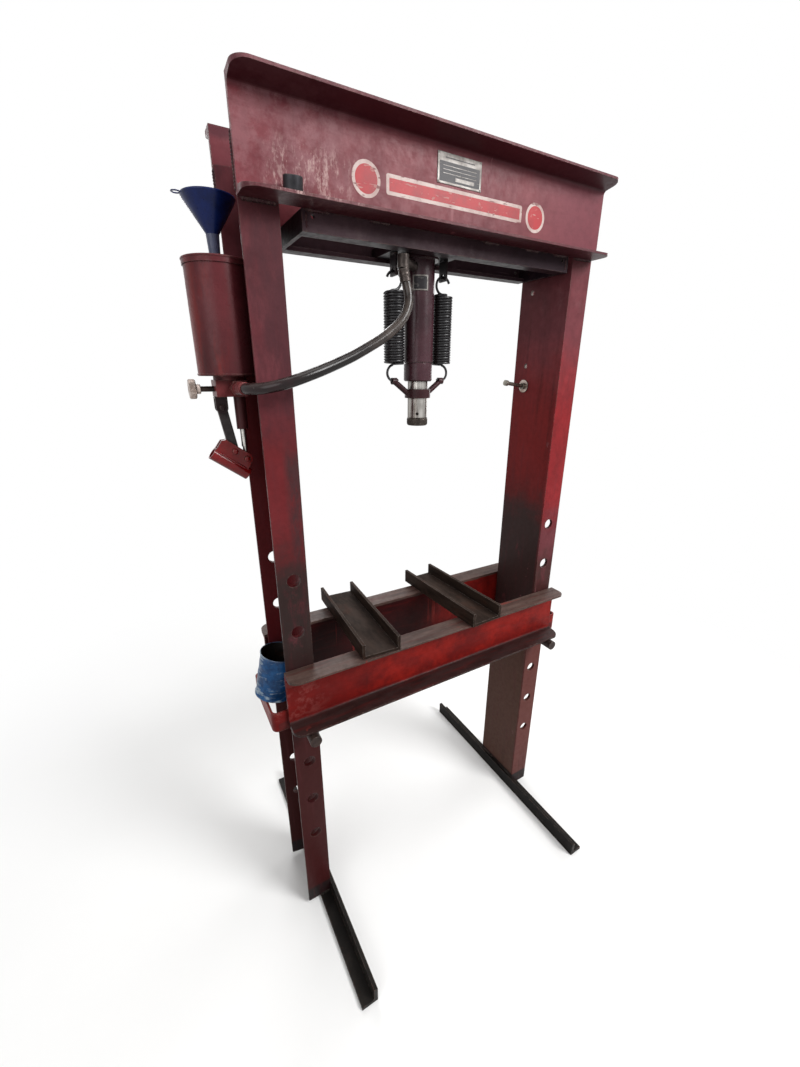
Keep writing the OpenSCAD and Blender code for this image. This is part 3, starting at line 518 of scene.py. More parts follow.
def tank_zones(s):
    bleed = s.span(s.noise(16, 6, 0.66, (1, 1, 0.22)), 0.42, 0.60)
    outer = s.span(s.facing[0], 0.2, -0.6)
    lower = s.span(s.z, TANK.z + 0.06, TANK.z - 0.09)
    return [(s.both(lower, 0.7), rgb(76, 36, 39)),
            (s.both(bleed, outer, 0.8), rgb(128, 34, 32))]


def pump_zones(s):
    # Painted light: the valve block and what stands above its base are painted lighter than the pump's
    # paint
    block = s.span(s.z, low("valve_block").z - 0.002, low("valve_block").z + 0.001)
    return [(s.both(block, 0.75), rgb(132, 58, 60))]


# Other finishes

def hose_rubber():
    s = Shader("hose_rubber")
    dust = s.both(s.span(s.facing[2], 0.0, 0.9), s.span(s.noise(55, 6, 0.72), 0.35, 0.65))
    near = s.span(s.x, -0.26, -0.12)
    colour = s.mix(s.noise(90, 5, 0.7), rgb(17, 14, 14), rgb(30, 25, 25))
    brown = s.both(near, s.span(s.noise(30, 5, 0.7), 0.3, 0.6), 0.7)
    colour = s.mix(brown, colour, rgb(88, 78, 72))
    overspray = s.both(s.span(s.x, -0.34, -0.41), s.span(s.noise(40, 5, 0.7), 0.3, 0.6), 0.7)
    colour = s.mix(overspray, colour, rgb(44, 20, 22))
    colour = s.mix(s.both(dust, 0.12), colour, rgb(126, 116, 110))
    rub = s.both(s.scratches(60, 0.66, (0.2, 1, 1)), 0.3)
    colour = s.mix(rub, colour, rgb(104, 98, 94))
    sheen = s.calc("ADD", s.both(dust, 0.16), 0.20)
    return s.surface(colour, sheen, 0.26, s.noise(420, 3, 0.6), depth=0.0003, strength=0.25, edge=0)


def plastic(name, base, dark, rough, see_through=0.0):
    """Moulded plastic or rubber with a dirty film in streaks."""
    s = Shader(name)
    colour = s.mix(s.span(s.noise(30, 6, 0.68), 0.40, 0.68), base, dark)
    film = s.span(s.noise(18, 6, 0.7, (1, 1, 0.3)), 0.50, 0.70)
    colour = s.mix(s.both(film, 0.25), colour, GRIME_AND_SHADE)
    sheen = s.calc("ADD", s.both(s.noise(140, 4, 0.7), 0.22), rough - 0.11)
    s.bsdf.inputs["Transmission Weight"].default_value = see_through
    return s.surface(colour, sheen, 0.2, s.noise(300, 2, 0.5), depth=0.0002, strength=0.2, edge=0)


def scuffed_tin():
    s = Shader("scuffed_tin")
    colour = s.mix(s.span(s.noise(26, 6, 0.7), 0.40, 0.64), rgb(34, 88, 142), rgb(22, 58, 100))
    patches = s.span(s.noise(16, 5, 0.7, shift=2.0), 0.44, 0.58)
    bands = s.both(s.scratches(70, 0.53, (0.35, 0.35, 2.2)), patches)
    colour = s.mix(s.both(bands, 0.85), colour, rgb(166, 184, 198))
    rust = s.span(s.noise(20, 7, 0.76, shift=5.0), 0.62, 0.70)
    colour = s.mix(rust, colour, RUST)
    rim = s.span(s.edges(0.003), 0.2, 0.7)
    colour = s.mix(s.both(rim, 0.7), colour, rgb(128, 136, 142))
    sheen = s.calc("ADD", s.both(bands, 0.2), 0.33)
    height = s.noise(110, 4, 0.6)
    return s.surface(colour, sheen, 0.2, height, depth=0.0006, strength=0.3, metallic=s.both(rim, 0.6))


def decal(name, base, faded, under, wear):
    """Printed film: faded in patches, scuffed through to what lies under it."""
    s = Shader(name)
    colour = s.mix(s.span(s.noise(20, 6, 0.7), 0.38, 0.66), base, faded)
    scuffs = s.either(s.scratches(150, 0.62, (0.2, 1, 1)), s.span(s.noise(90, 8, 0.8), 0.60, 0.66))
    colour = s.mix(s.both(scuffs, wear), colour, under)
    sheen = s.calc("ADD", s.both(scuffs, 0.2), 0.38)
    return s.surface(colour, sheen, 0.2, s.noise(260, 3, 0.6), depth=0.0002, strength=0.2, edge=0)


# Materials by key, and the nodes that take them

def paints():
    return {
        "head": worn_paint("head_paint", rgb(130, 60, 67), rgb(104, 42, 50), rgb(146, 88, 93), "x",
                           head_zones, wear=0.5, grime_and_shade=0.45),
        "column": worn_paint("column_paint", rgb(118, 62, 68), rgb(90, 42, 47), rgb(130, 84, 88), "z",
                             column_zones, wear=0.6, grime_and_shade=0.6, gloss=0.08),
        "rail": worn_paint("rail_paint", rgb(86, 66, 72), rgb(60, 43, 48), rgb(104, 86, 90), "x",
                           rail_zones, grime_and_shade=0.7, gloss=0.06),
        "plate": worn_paint("plate_paint", rgb(40, 28, 32), rgb(26, 18, 21), rgb(66, 52, 55), "x",
                            grime_and_shade=0.7),
        "bed": worn_paint("bed_paint", rgb(132, 30, 26), rgb(98, 22, 21), rgb(146, 56, 49), "x",
                          bed_zones, wear=0.7, grime_and_shade=0.6, rough=0.40, fade=0.3, gloss=0.08),
        "tank": worn_paint("tank_paint", rgb(108, 49, 54), rgb(86, 34, 39), rgb(118, 64, 68), "z",
                           tank_zones, wear=0.45, grime_and_shade=0.6, rough=0.34, gloss=0.15),
        "pump": worn_paint("pump_paint", rgb(94, 48, 50), rgb(66, 30, 32), rgb(114, 72, 73), "z",
                           pump_zones, grime_and_shade=0.6),
        "lug": worn_paint("lug_paint", rgb(54, 34, 36), rgb(38, 24, 26), rgb(74, 58, 58),
                          wear=0.7, grime_and_shade=0.7),
        "lever": worn_paint("lever_paint", rgb(146, 20, 22), rgb(98, 12, 14), rgb(150, 46, 45), "x",
                            wear=0.7, grime_and_shade=0.3, rough=0.18, gloss=0.28),
        "cylinder": worn_paint("cylinder_paint", rgb(76, 44, 52), rgb(54, 28, 35), rgb(94, 64, 72),
                               wear=0.45, grime_and_shade=0.5, rough=0.32, gloss=0.25),
        "yoke": worn_paint("yoke_paint", rgb(64, 36, 40), rgb(44, 25, 28), rgb(86, 66, 67),
                           grime_and_shade=0.6, rough=0.36),
        "black": worn_paint("black_paint", rgb(36, 33, 31), rgb(24, 22, 21), rgb(58, 53, 50), "y",
                            wear=0.7, grime_and_shade=0.4, gloss=0.06),
        "weld": worn_paint("weld_paint", rgb(70, 34, 40), rgb(48, 23, 28), rgb(92, 58, 61),
                           grime_and_shade=0.8, rough=0.5),
    }


def metals():
    return {
        "spring": bare_metal("spring_steel", rgb(32, 31, 34), rgb(20, 19, 21), 0.34, 0.0,
                             rust=0.05, edge=0, gloss=0.38),
        "rod": bare_metal("rod_steel", rgb(196, 193, 188), rgb(84, 76, 70), 0.26, 1.0,
                          stretch=(1, 1, 0.07), scale=70, rust=0.15, edge=0),
        "nose": bare_metal("nose_steel", rgb(74, 68, 62), rgb(42, 37, 34), 0.42, 0.7),
        "bolster": bare_metal("bolster_steel", rgb(56, 44, 38), rgb(34, 26, 22), 0.6, 0.0,
                              stretch=(0.5, 0.15, 1), scale=60, gloss=0.04),
        "dark": bare_metal("dark_steel", rgb(60, 55, 55), rgb(40, 36, 36), 0.44, 0.5),
        "pin": bare_metal("pin_steel", rgb(58, 45, 41), rgb(36, 26, 24), 0.44, 0.3, rust=0.4),
        "knob": bare_metal("knob_steel", rgb(204, 190, 182), rgb(146, 128, 118), 0.32, 0.85, rust=0.15),
        "peg": bare_metal("peg_steel", rgb(166, 162, 152), rgb(92, 88, 80), 0.34, 0.8, rust=0.1),
        "fitting": bare_metal("fitting_steel", rgb(86, 78, 74), rgb(48, 42, 40), 0.42, 0.6, rust=0.4),
        "sleeve": bare_metal("sleeve_steel", rgb(54, 54, 58), rgb(34, 33, 36), 0.42, 0.4, rust=0.1),
        "tin_inside": bare_metal("tin_lining", rgb(44, 40, 38), rgb(22, 19, 18), 0.5, 0.35,
                                 rust=0.6, edge=0),
        "silver": bare_metal("plate_silver", rgb(146, 142, 138), rgb(104, 99, 95), 0.42, 0.3, rust=0.1),
    }


def soft_and_printed():
    oxide = rgb(112, 56, 60)
    return {
        "seal": plastic("seal_rubber", rgb(30, 29, 29), rgb(20, 20, 20), 0.6),
        "hose": hose_rubber(),
        "funnel": plastic("funnel_plastic", rgb(20, 38, 96), rgb(12, 24, 66), 0.30),
        "stem": plastic("stem_plastic", rgb(112, 118, 148), rgb(80, 86, 118), 0.36, 0.35),
        "tin": scuffed_tin(),
        "print_dark": decal("print_dark", rgb(38, 36, 39), rgb(52, 49, 52), rgb(150, 146, 142), 0.25),
        "print_pale": decal("print_pale", rgb(204, 184, 178), rgb(176, 148, 142), oxide, 0.75),
        "print_red": decal("print_red", rgb(174, 40, 46), rgb(150, 44, 49), rgb(196, 166, 160), 0.5),
    }


NODE_FINISH = {
    "head": ["front_head_beam", "rear_head_beam"],
    "column": ["left_column", "right_column"],
    "rail": ["front_mount_rail", "rear_mount_rail", "left_rail_end", "right_rail_end"],
    "plate": ["cylinder_mount_plate", "cylinder_lock_ring", "left_spring_hanger", "right_spring_hanger"],
    "bed": ["front_bed_channel", "rear_bed_channel", "left_bed_strap", "right_bed_strap"],
    "tank": ["oil_tank", "tank_lid"],
    "pump": ["pump_bracket", "valve_block", "plunger_barrel", "pump_hose_fitting"],
    "lug": ["link_lug", "lug_pin"],
    "lever": ["lever_socket", "fulcrum_pin", "plunger_pin"],
    "cylinder": ["cylinder_barrel", "cylinder_end_cap", "cylinder_gland"],
    "yoke": ["spring_yoke"],
    "black": ["left_foot", "right_foot"],
    "spring": ["left_return_spring", "right_return_spring"],
    "rod": ["ram_rod", "ram_piston", "pump_plunger"],
    "nose": ["ram_nose"],
    "bolster": ["left_bolster", "right_bolster"],
    "dark": ["pump_link"],
    "pin": ["left_bed_pin", "right_bed_pin", "valve_stem"],
    "knob": ["release_knob", "peg_washer"],
    "peg": ["hanger_peg", "peg_nut"],
    "fitting": ["hose_elbow"],
    "sleeve": ["press_sleeve"],
    "seal": ["rod_seal", "piston_seal"],
    "hose": ["oil_hose"],
    "funnel": ["funnel"],
    "tin": ["open_tin"],
    "silver": ["cylinder_label", "name_plate_blank"],
}


def finish_nodes(materials):
    for key, names in NODE_FINISH.items():
        for name in names:
            nodes[name].data.materials.clear()
            nodes[name].data.materials.append(materials[key])


def dress(obj, material, body, slot, *replaced):
    """Gives a piece its material and the body it rides on, and hides the nodes it stands for. slot is not
    used.
    """
    obj.data.materials.append(material)
    if body:
        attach(obj, body)
    if replaced:
        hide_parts(*replaced)


# Hose

def make_hose(materials):
    line = smooth_line(HOSE_ROUTE, 6)
    data = bpy.data.curves.new("hose", "CURVE")
    data.dimensions = "3D"
    data.bevel_depth = HOSE_D / 2
    data.bevel_resolution = 5
    data.use_fill_caps = True
    spline = data.splines.new("POLY")
    spline.points.add(len(line) - 1)
    for point, place in zip(spline.points, line):
        point.co = (*place, 1)
    spline.use_smooth = True
    hose = link(bpy.data.objects.new("hose", data))
    dress(hose, materials["hose"], "frame", "hose_rubber", "oil_hose")
    hose_r, ferrule_l = HOSE_D / 2, 0.0255
    grip, groove = hose_r + 0.0016, hose_r + 0.0008
    crimp = [(hose_r, 0.0), (grip, 0.0008)]
    for start in (0.006, 0.014):
        crimp += [(grip, start), (groove, start + 0.0015), (grip, start + 0.003)]
    crimp += [(grip, ferrule_l - 0.0015), (hose_r, ferrule_l)]
    ends = (("upper_ferrule", line[0], line[1], "fitting"), ("pump_ferrule", line[-1], line[-2], "pump"))
    for name, end, inward, key in ends:
        turn = Vector((0, 0, 1)).rotation_difference(inward - end).to_matrix().to_4x4()
        ferrule = mesh_object(name, *turned(crimp, Matrix.Translation(end) @ turn, 40))
        dress(ferrule, materials[key], "frame", "dark_steel")


# Return springs

WIRE_R = 0.0028
COIL_R = 0.0207
COIL_TURNS = 27
TURN_STEPS = 22
HOOK_R = 0.0177
HOOK_STEPS = 24
HOOK_TO_COIL = 0.0185
HOOK_Z = (low("left_return_spring").z + HOOK_R + WIRE_R, high("left_return_spring").z - HOOK_R - WIRE_R)
COIL_ENDS = (HOOK_Z[0] + HOOK_TO_COIL, HOOK_Z[1] - HOOK_TO_COIL)

# First and last angle of the hooks, in degrees
LOWER_HOOK = (-55, -255)
UPPER_HOOK = (-75, 160)

# At each end the coils narrow to an eye, in 1 / EYE_RATE of a turn
EYE_R = 0.004
EYE_RATE = 2.2


def spring_line(x, side):
    """Wire's centreline from the lower hook through the coils to the upper hook.
    side is -1 for the left spring and 1 for the right one."""
    def point(px, py, pz):
        return Vector((x - side * px, -side * py, pz))

    def hook(z, first, last):
        turns = [math.radians(first + (last - first) * k / HOOK_STEPS) for k in range(HOOK_STEPS + 1)]
        return [point(HOOK_R * math.cos(a), 0, z + HOOK_R * math.sin(a)) for a in turns]

    coils = []
    count = COIL_TURNS * TURN_STEPS
    for k in range(count + 1):
        t = k / count
        a = math.pi + 2 * math.pi * COIL_TURNS * t
        ease = min(1.0, EYE_RATE * COIL_TURNS * min(t, 1 - t))
        r = EYE_R + (COIL_R - EYE_R) * ease * ease * (3 - 2 * ease)
        z = COIL_ENDS[0] + (COIL_ENDS[1] - COIL_ENDS[0]) * t
        coils.append(point(r * math.cos(a), r * math.sin(a), z))
    return [*hook(HOOK_Z[0], *LOWER_HOOK), *coils, *hook(HOOK_Z[1], *UPPER_HOOK)]


def make_springs(materials):
    for name, side in (("left", -1), ("right", 1)):
        node = name + "_return_spring"
        x = middle(node).x
        obj = mesh_object(name + "_coil_spring", *sweep(spring_line(x, side), WIRE_R, 10))
        dress(obj, materials["spring"], None, "black_paint", node)
        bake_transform(obj)


# Turned pieces of the ram and the pump

def make_nose(materials):
    base = low("ram_nose").z
    band_low, band_high = 0.004, 0.0145
    profile = [(0.016, 0.0), (0.0225, 0.0), (0.0245, 0.002), (0.0245, 0.0035), (0.0250, band_low),
               (0.0250, band_high), (0.0243, 0.015), (0.0243, 0.0175), (0.0232, 0.019), (0.0201, 0.019)]
    grip = knurl(48, 0.0009)

    def wave(a, r, z):
        return grip(a, r, z) if band_low <= z <= band_high else r

    obj = mesh_object("knurled_nose", *turned(profile, at(RAM.x, 0, base), 192, wave))
    dress(obj, materials["nose"], "ram", "dark_steel", "ram_nose")


def make_gland(materials):
    base = low("cylinder_gland").z
    bore_r, outer_r, groove_r = 0.02356, 0.0330, 0.0322
    profile = [(bore_r, 0.0), (0.0305, 0.0), (outer_r, 0.0025), (outer_r, 0.0385), (groove_r, 0.0395),
               (groove_r, 0.0415), (outer_r, 0.042), (bore_r, 0.042)]
    obj = mesh_object("turned_gland", *turned(profile, at(RAM.x, 0, base), 96, ends="ring"))
    dress(obj, materials["cylinder"], "frame", "cylinder_paint", "cylinder_gland")


def make_knob(materials):
    face = low("release_knob").x
    rim_r, grip_r, hub_r = 0.0160, 0.0175, 0.0090
    profile = [(0.0004, 0.0016), (0.0045, 0.0016), (0.0060, 0.0), (rim_r, 0.0), (grip_r, 0.0014),
               (grip_r, 0.0106), (rim_r, 0.012), (0.0096, 0.0122), (hub_r, 0.0130), (hub_r, 0.0188),
               (0.0080, 0.020), (0.0051, 0.020)]
    grip = knurl(40, 0.0012)

    def wave(a, r, z):
        return grip(a, r, z) if r >= rim_r else r

    sideways = at(face, 0, middle("valve_stem").z) @ Matrix.Rotation(math.pi / 2, 4, "Y")
    obj = mesh_object("knurled_knob", *turned(profile, sideways, 160, wave))
    dress(obj, materials["knob"], "release_valve", "bright_steel", "release_knob")


def make_tank_seams(materials):
    half_w, half_h, corners = 0.0014, 0.0018, 10

    def ring(radius, z):
        angles = [2 * math.pi * k / corners for k in range(corners)]
        profile = [(radius + half_w * math.cos(a), z + half_h * math.sin(a)) for a in angles]
        return turned(profile, at(TANK.x, 0, 0), 96, ends="ring")

    tank_r = high("oil_tank").x - TANK.x
    lid_r = high("tank_lid").x - TANK.x
    bottom = ring(tank_r, low("oil_tank").z + half_h + 0.001)
    top = ring(lid_r - 0.0004, high("tank_lid").z - half_h)
    dress(joined("tank_seams", [bottom, top]), materials["tank"], "frame", "pump_paint")


def make_rivets(materials):
    """Domed ends of the pump's pivot pins."""
    radius, rise = 0.0058, 0.0022
    for pin, body, key in (("lug_pin", "frame", "lug"), ("fulcrum_pin", "lever", "lever"),
                           ("plunger_pin", "plunger", "lever")):
        centre = middle(pin)
        ends = (low(pin).y, high(pin).y)
        heads = [dome((centre.x, y, centre.z), (0, y, 0), radius, rise) for y in ends]
        dress(joined(pin + "_heads", heads), materials[key], body, "dark_steel")


# Funnel and tin

def make_funnel(materials):
    cone_h, stem_h = 0.056, 0.086
    neck_in, neck_out = 0.0094, 0.0110
    rim_z = high("funnel").z
    place = at(TANK.x, 0, rim_z - cone_h)
    cone = [(neck_in, 0.0), (0.0424, 0.0535), (0.0428, 0.0556), (0.0436, cone_h), (0.0440, 0.0552),
            (0.0440, 0.0535), (0.0432, 0.0525), (0.0415, 0.0485), (neck_out, 0.0008), (neck_out, 0.0)]
    obj = mesh_object("funnel_cone", *turned(cone, place, 72, ends="ring"))
    dress(obj, materials["funnel"], "frame", "blue_plastic", "funnel")
    stem = [(neck_out, 0.0), (neck_in, 0.0), (0.0049, -stem_h), (0.0065, -stem_h), (0.0076, -0.066),
            (0.0100, -0.018)]
    obj = mesh_object("funnel_stem", *turned(stem, place, 48, ends="ring"))
    dress(obj, materials["stem"], "frame", "blue_plastic")
    loop_r, wire_r, steps = 0.0068, 0.0012, 36
    x, z = TANK.x - 0.0496, rim_z - wire_r
    angles = [2 * math.pi * k / steps for k in range(steps + 1)]
    loop = [Vector((x + loop_r * math.cos(a), loop_r * math.sin(a), z)) for a in angles]
    obj = mesh_object("funnel_loop", *sweep(loop, wire_r, 8))
    dress(obj, materials["funnel"], "frame", "blue_plastic")


TIN_D = 0.096
TIN_H = 0.112
TIN_OVER = 0.022


def tin_place():
    """Frame of the tin, which stands on the strap's inner edge and leans on the column's web."""
    edge_x = low("left_bed_strap").x + STRAP_T
    reach = -edge_x - WEB_X - COLUMN_WEB
    across = TIN_D - TIN_OVER
    tilt = math.atan2(TIN_H, across) - math.acos(reach / math.hypot(across, TIN_H))
    stand = at(edge_x, 0, high("left_bed_strap").z)
    return stand @ Matrix.Rotation(tilt, 4, "Y") @ at(TIN_D / 2 - TIN_OVER, 0, 0)


def make_tin(materials):
    place = tin_place()
    r, h = TIN_D / 2, TIN_H

    def dents(a, radius, z):
        depth = 0.0014 * max(0.0, noise.noise(Vector((3 * math.cos(a), 3 * math.sin(a), 30 * z))))
        return radius - depth if 0.006 < z < h - 0.008 else radius

    rows, wall_end, wave_l = 28, 0.0048, 0.028
    levels = [wall_end + (h - 2 * wall_end) * k / rows for k in range(rows + 1)]
    wall = [(r - 0.0012 + 0.0005 * math.cos(2 * math.pi * z / wave_l), z) for z in levels]
    lip = (r - 0.0019, h - 0.001)
    outside = [(r - 0.004, 0.0012), (r - 0.0018, 0.0), (r, 0.0008), (r, 0.0036), *wall,
               (r - 0.0003, h - 0.0028), (r, h - 0.0014), (r - 0.0006, h - 0.0002), (r - 0.0014, h), lip]
    obj = mesh_object("dented_tin", *turned(outside, place, 96, dents, "open"))
    dress(obj, materials["tin"], "bed", "blue_paint", "open_tin")
    lining = [(0.0002, 0.0022), (r - 0.005, 0.0022), (r - 0.003, 0.0032), (r - 0.0026, 0.012),
              (r - 0.0026, h - 0.012), lip]
    obj = mesh_object("tin_lining", *turned(lining, place, 96, None, "open"))
    dress(obj, materials["tin_inside"], "bed", "blue_paint")


# Plates and stripe

def make_name_plate(materials):
    """Blank plate with a dark line, a dark field, bright rules, one bright box and four rivets."""
    plate = middle("name_plate_blank")
    front = low("name_plate_blank").y
    print_t, rule_t = 0.00015, 0.0001
    dark = [panel((plate.x, front, plate.z + 0.0170), 0.070, 0.0016, 0.0004, print_t),
            panel((plate.x, front, plate.z - 0.0050), 0.096, 0.0315, 0.0015, print_t)]
    dress(joined("plate_fields", dark), materials["print_dark"], "frame", "plate_metal")
    over = front - print_t
    bright = [panel((plate.x, over, plate.z + dz), 0.080, 0.0010, 0.0004, rule_t)
              for dz in (0.0045, -0.0015, -0.0075)]
    bright.append(panel((plate.x + 0.012, over, plate.z - 0.0145), 0.046, 0.0060, 0.0006, rule_t))
    bright += [dome((plate.x + sx * 0.0500, front, plate.z + sz * 0.0220), (0, -1, 0), 0.0015, 0.0009)
               for sx in (-1, 1) for sz in (-1, 1)]
    dress(joined("plate_rules", bright), materials["silver"], "frame", "plate_metal")


def make_stripe(materials):
    """Plain bar between two discs, in worn pale and red film on the front of the head."""
    x, z = 0.005, HEAD_Z + 0.0575
    rim, edge_t, field_t = 0.006, 0.0002, 0.0001
    bar = (0.0, 0.330, 0.032, 0.004)
    discs = [(dx, 0.056, 0.056, 0.0279) for dx in (-0.205, 0.205)]
    shapes = [bar, *discs]
    pale = [panel((x + dx, HEAD_FRONT, z), w, h, corner, edge_t) for dx, w, h, corner in shapes]
    dress(joined("stripe_edge", pale), materials["print_pale"], "frame", "frame_paint")
    front = HEAD_FRONT - edge_t
    red = [panel((x + dx, front, z), w - 2 * rim, h - 2 * rim, max(corner - rim, 0.001), field_t)
           for dx, w, h, corner in shapes]
    dress(joined("stripe_field", red), materials["print_red"], "frame", "frame_paint")


def make_label(materials):
    """Dark field of the cylinder's label, curved with the barrel inside the label's bright border."""
    border, thickness, radius = 0.003, 0.0001, 0.03495
    centre, half = math.radians(243), 0.42
    bottom, top = low("cylinder_label").z + border, high("cylinder_label").z - border
    count = 16
    verts, faces = [], []
    for k in range(count + 1):
        a = centre - half + 2 * half * k / count
        for z in (bottom, top):
            for r in (radius, radius + thickness):
                verts.append((RAM.x + r * math.cos(a), r * math.sin(a), z))
    for k in range(count):
        b, n = 4 * k, 4 * (k + 1)
        faces += [(b + 1, n + 1, n + 3, b + 3), (b, b + 2, n + 2, n)]
        faces += [(b, n, n + 1, b + 1), (b + 2, b + 3, n + 3, n + 2)]
    faces += [(0, 1, 3, 2), (4 * count, 4 * count + 2, 4 * count + 3, 4 * count + 1)]
    dress(mesh_object("label_field", verts, faces), materials["print_dark"], "frame", "plate_metal")


# Welds, which are beads of these radii

COLUMN_BEAD = 0.0040
EDGE_BEAD = 0.0032
STITCH_BEAD = 0.0034
BLOCK_BEAD = 0.0026
THIN_BEAD = 0.0024
LAP_BEAD = 0.0022


def make_frame_welds(materials):
    """Columns to head, stitches along the mount rails, rail ends, pump bracket and valve block."""
    parts = []
    seam_z = HEAD_Z - 0.0005
    for side in (-1, 1):
        inner, outer, edge = side * (WEB_X + 0.002), side * (COLUMN_EDGE - 0.003), side * COLUMN_EDGE
        for face in (-1, 1):
            y, inset = face * COLUMN_FACE, face * (COLUMN_FACE - 0.0006)
            parts.append(bead((inner, y, seam_z), (outer, y, seam_z), COLUMN_BEAD))
            parts.append(bead((edge, inset, HEAD_Z + 0.004), (edge, inset, COLUMN_TOP - 0.005), EDGE_BEAD))
    stitch_z, stitch_half = HEAD_Z - 0.0008, 0.022
    for face in (-1, 1):
        y, inset = face * COLUMN_FACE, face * (COLUMN_FACE - 0.001)
        for x in (-0.29, -0.17, 0.10, 0.22, 0.31):
            parts.append(bead((x - stitch_half, y, stitch_z), (x + stitch_half, y, stitch_z), STITCH_BEAD))
        for x in (low("front_mount_rail").x, high("front_mount_rail").x):
            parts.append(bead((x, inset, HEAD_Z - 0.030), (x, inset, HEAD_Z - 0.004), THIN_BEAD))
    web = -WEB_X - COLUMN_WEB - 0.0005
    bottom, top = low("pump_bracket").z + 0.002, high("pump_bracket").z - 0.002
    for y in (low("pump_bracket").y, high("pump_bracket").y):
        parts.append(bead((web, y, bottom), (web, y, top), STITCH_BEAD))
    block, block_half = high("valve_block").x, 0.020
    for rise in (0.005, 0.025):
        z = low("valve_block").z + rise
        parts.append(bead((block, -block_half, z), (block, block_half, z), BLOCK_BEAD))
    dress(joined("weld_beads", parts), materials["weld"], "frame", "frame_paint")


def make_foot_welds(materials):
    foot = high("right_foot")
    level = low("right_column").z + 0.0002
    parts = []
    for side in (-1, 1):
        inner, outer, web = side * (WEB_X + 0.002), side * (foot.x - 0.0005), side * (WEB_X - 0.0001)
        for face in (-1, 1):
            y = face * COLUMN_FACE
            parts.append(bead((inner, y, level), (outer, y, level), COLUMN_BEAD))
            parts.append(bead((web, face * 0.080, foot.z), (web, face * 0.020, foot.z), STITCH_BEAD))
    dress(joined("foot_welds", parts), materials["black"], "frame", "black_paint")


def make_hanger_welds(materials):
    z, half = low("cylinder_mount_plate").z - 0.0002, 0.012
    parts = []
    for hanger in ("left_spring_hanger", "right_spring_hanger"):
        for x in (low(hanger).x, high(hanger).x):
            parts.append(bead((x, -half, z), (x, half, z), THIN_BEAD))
    dress(joined("hanger_welds", parts), materials["plate"], "frame", "frame_paint")


def make_strap_welds(materials):
    strap = high("right_bed_strap")
    inner, outer = low("right_bed_strap").x + 0.0005, high("front_bed_channel").x - 0.0005
    parts = []
    for side in (-1, 1):
        for face in (-1, 1):
            y = face * (strap.y - 0.0001)
            for z in (BED_Z + 0.0002, strap.z - 0.0002):
                parts.append(bead((side * inner, y, z), (side * outer, y, z), LAP_BEAD))
    dress(joined("strap_welds", parts), materials["bed"], "bed", "bed_paint")


def make_lever_welds(materials):
    """Fillet beads between the lever's cheeks and its tube, in the lever's own slanted frame."""
    tilt = math.radians(36.87)
    along = Vector((math.cos(tilt), 0, -math.sin(tilt)))
    up = Vector((math.sin(tilt), 0, math.cos(tilt)))
    pivot_along, pivot_up = 0.033, 0.026
    cheek_y, tube_r = 0.0105, 0.0132
    pivot = middle("fulcrum_pin")
    origin = pivot - pivot_along * along - pivot_up * up
    seam = math.sqrt(tube_r ** 2 - cheek_y ** 2)
    beads = []
    for face in (-1, 1):
        line = origin + seam * up + Vector((0, face * cheek_y, 0))
        beads.append(bead(line + 0.004 * along, line + 0.070 * along, LAP_BEAD))
    dress(joined("lever_welds", beads), materials["lever"], "lever", "pump_paint")


# Stage

def background_rays(tree):
    """1 for the rays that show the background: camera, glossy and transmission rays."""
    path = tree.nodes.new("ShaderNodeLightPath")
    share = path.outputs["Is Camera Ray"]
    for name in ("Is Glossy Ray", "Is Transmission Ray"):
        larger = tree.nodes.new("ShaderNodeMath")
        larger.operation = "MAXIMUM"
        tree.links.new(share, larger.inputs[0])
        tree.links.new(path.outputs[name], larger.inputs[1])
        share = larger.outputs[0]
    return share


def make_world():
    world = bpy.data.worlds.new("studio")
    bpy.context.scene.world = world
    world.use_nodes = True
    tree = world.node_tree
    ambient = tree.nodes["Background"]
    ambient.inputs["Color"].default_value = (1.0, 0.98, 0.96, 1.0)
    ambient.inputs["Strength"].default_value = 0.25
    white = tree.nodes.new("ShaderNodeBackground")
    white.inputs["Color"].default_value = (1, 1, 1, 1)
    mix = tree.nodes.new("ShaderNodeMixShader")
    tree.links.new(background_rays(tree), mix.inputs[0])
    tree.links.new(ambient.outputs[0], mix.inputs[1])
    tree.links.new(white.outputs[0], mix.inputs[2])
    tree.links.new(mix.outputs[0], tree.nodes["World Output"].inputs["Surface"])


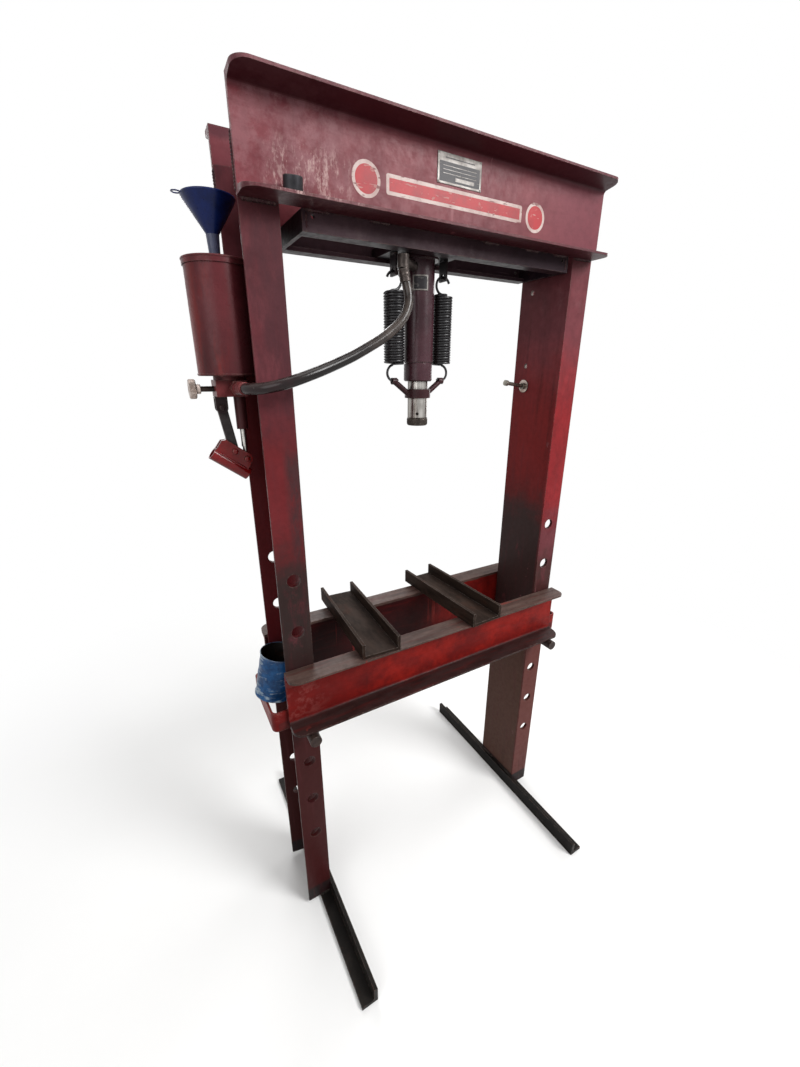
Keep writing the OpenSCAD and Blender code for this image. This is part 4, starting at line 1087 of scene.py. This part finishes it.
def make_floor():
    """Pale floor that keeps the shadow near the press and turns white further out."""
    radius, count = 9, 64
    angles = [2 * math.pi * k / count for k in range(count)]
    corners = [(radius * math.cos(a), radius * math.sin(a), 0) for a in angles]
    floor = mesh_object("floor", corners, [tuple(range(count))])
    s = Shader("pale_floor")
    seen = background_rays(s.mat.node_tree)
    pale = s.mix(s.noise(3, 4, 0.6), (0.90, 0.90, 0.895, 1), (0.86, 0.86, 0.855, 1))
    s.put(s.bsdf.inputs["Base Color"], s.mix(seen, (0.30, 0.29, 0.28, 1), pale))
    s.bsdf.inputs["Roughness"].default_value = 0.9
    s.bsdf.inputs["Specular IOR Level"].default_value = 0.1
    white = s.node("ShaderNodeEmission", {"Color": (1, 1, 1, 1), "Strength": 1.0})
    distance = s.node("ShaderNodeVectorMath", {0: s.place}, operation="LENGTH").outputs["Value"]
    share = s.both(s.span(distance, 0.6, 2.2), seen)
    mix = s.node("ShaderNodeMixShader", {0: share, 1: s.bsdf.outputs[0], 2: white.outputs[0]})
    s.links.new(mix.outputs[0], s.nodes["Material Output"].inputs["Surface"])
    floor.data.materials.append(s.mat)


def make_lights():
    def area(name, place, aim, size, power):
        data = bpy.data.lights.new(name, "AREA")
        data.shape = "DISK"
        data.size = size
        data.energy = power
        lamp = link(bpy.data.objects.new(name, data))
        lamp.location = place
        lamp.rotation_euler = (Vector(aim) - Vector(place)).to_track_quat("-Z", "Y").to_euler()

    area("key", (1.8, -2.9, 3.3), (0, 0, 1.2), 1.8, 150)
    area("fill", (-2.6, -1.8, 2.2), (0, 0, 1.0), 2.4, 30)
    area("top", (0.0, -0.2, 4.4), (0, 0, 0.8), 2.6, 50)
    area("back", (0.4, 3.0, 2.6), (0, 0, 1.0), 2.4, 55)
    area("right", (3.2, 0.6, 1.8), (0, 0, 1.0), 2.4, 40)


make_camera()
materials = {**paints(), **metals(), **soft_and_printed()}
make_hose(materials)
finish_nodes(materials)
make_springs(materials)
make_nose(materials)
make_gland(materials)
make_knob(materials)
make_tank_seams(materials)
make_rivets(materials)
make_funnel(materials)
make_tin(materials)
make_name_plate(materials)
make_stripe(materials)
make_label(materials)
make_frame_welds(materials)
make_foot_welds(materials)
make_hanger_welds(materials)
make_strap_welds(materials)
make_lever_welds(materials)
make_world()
make_floor()
make_lights()

bpy.context.scene.view_settings.view_transform = "Standard"
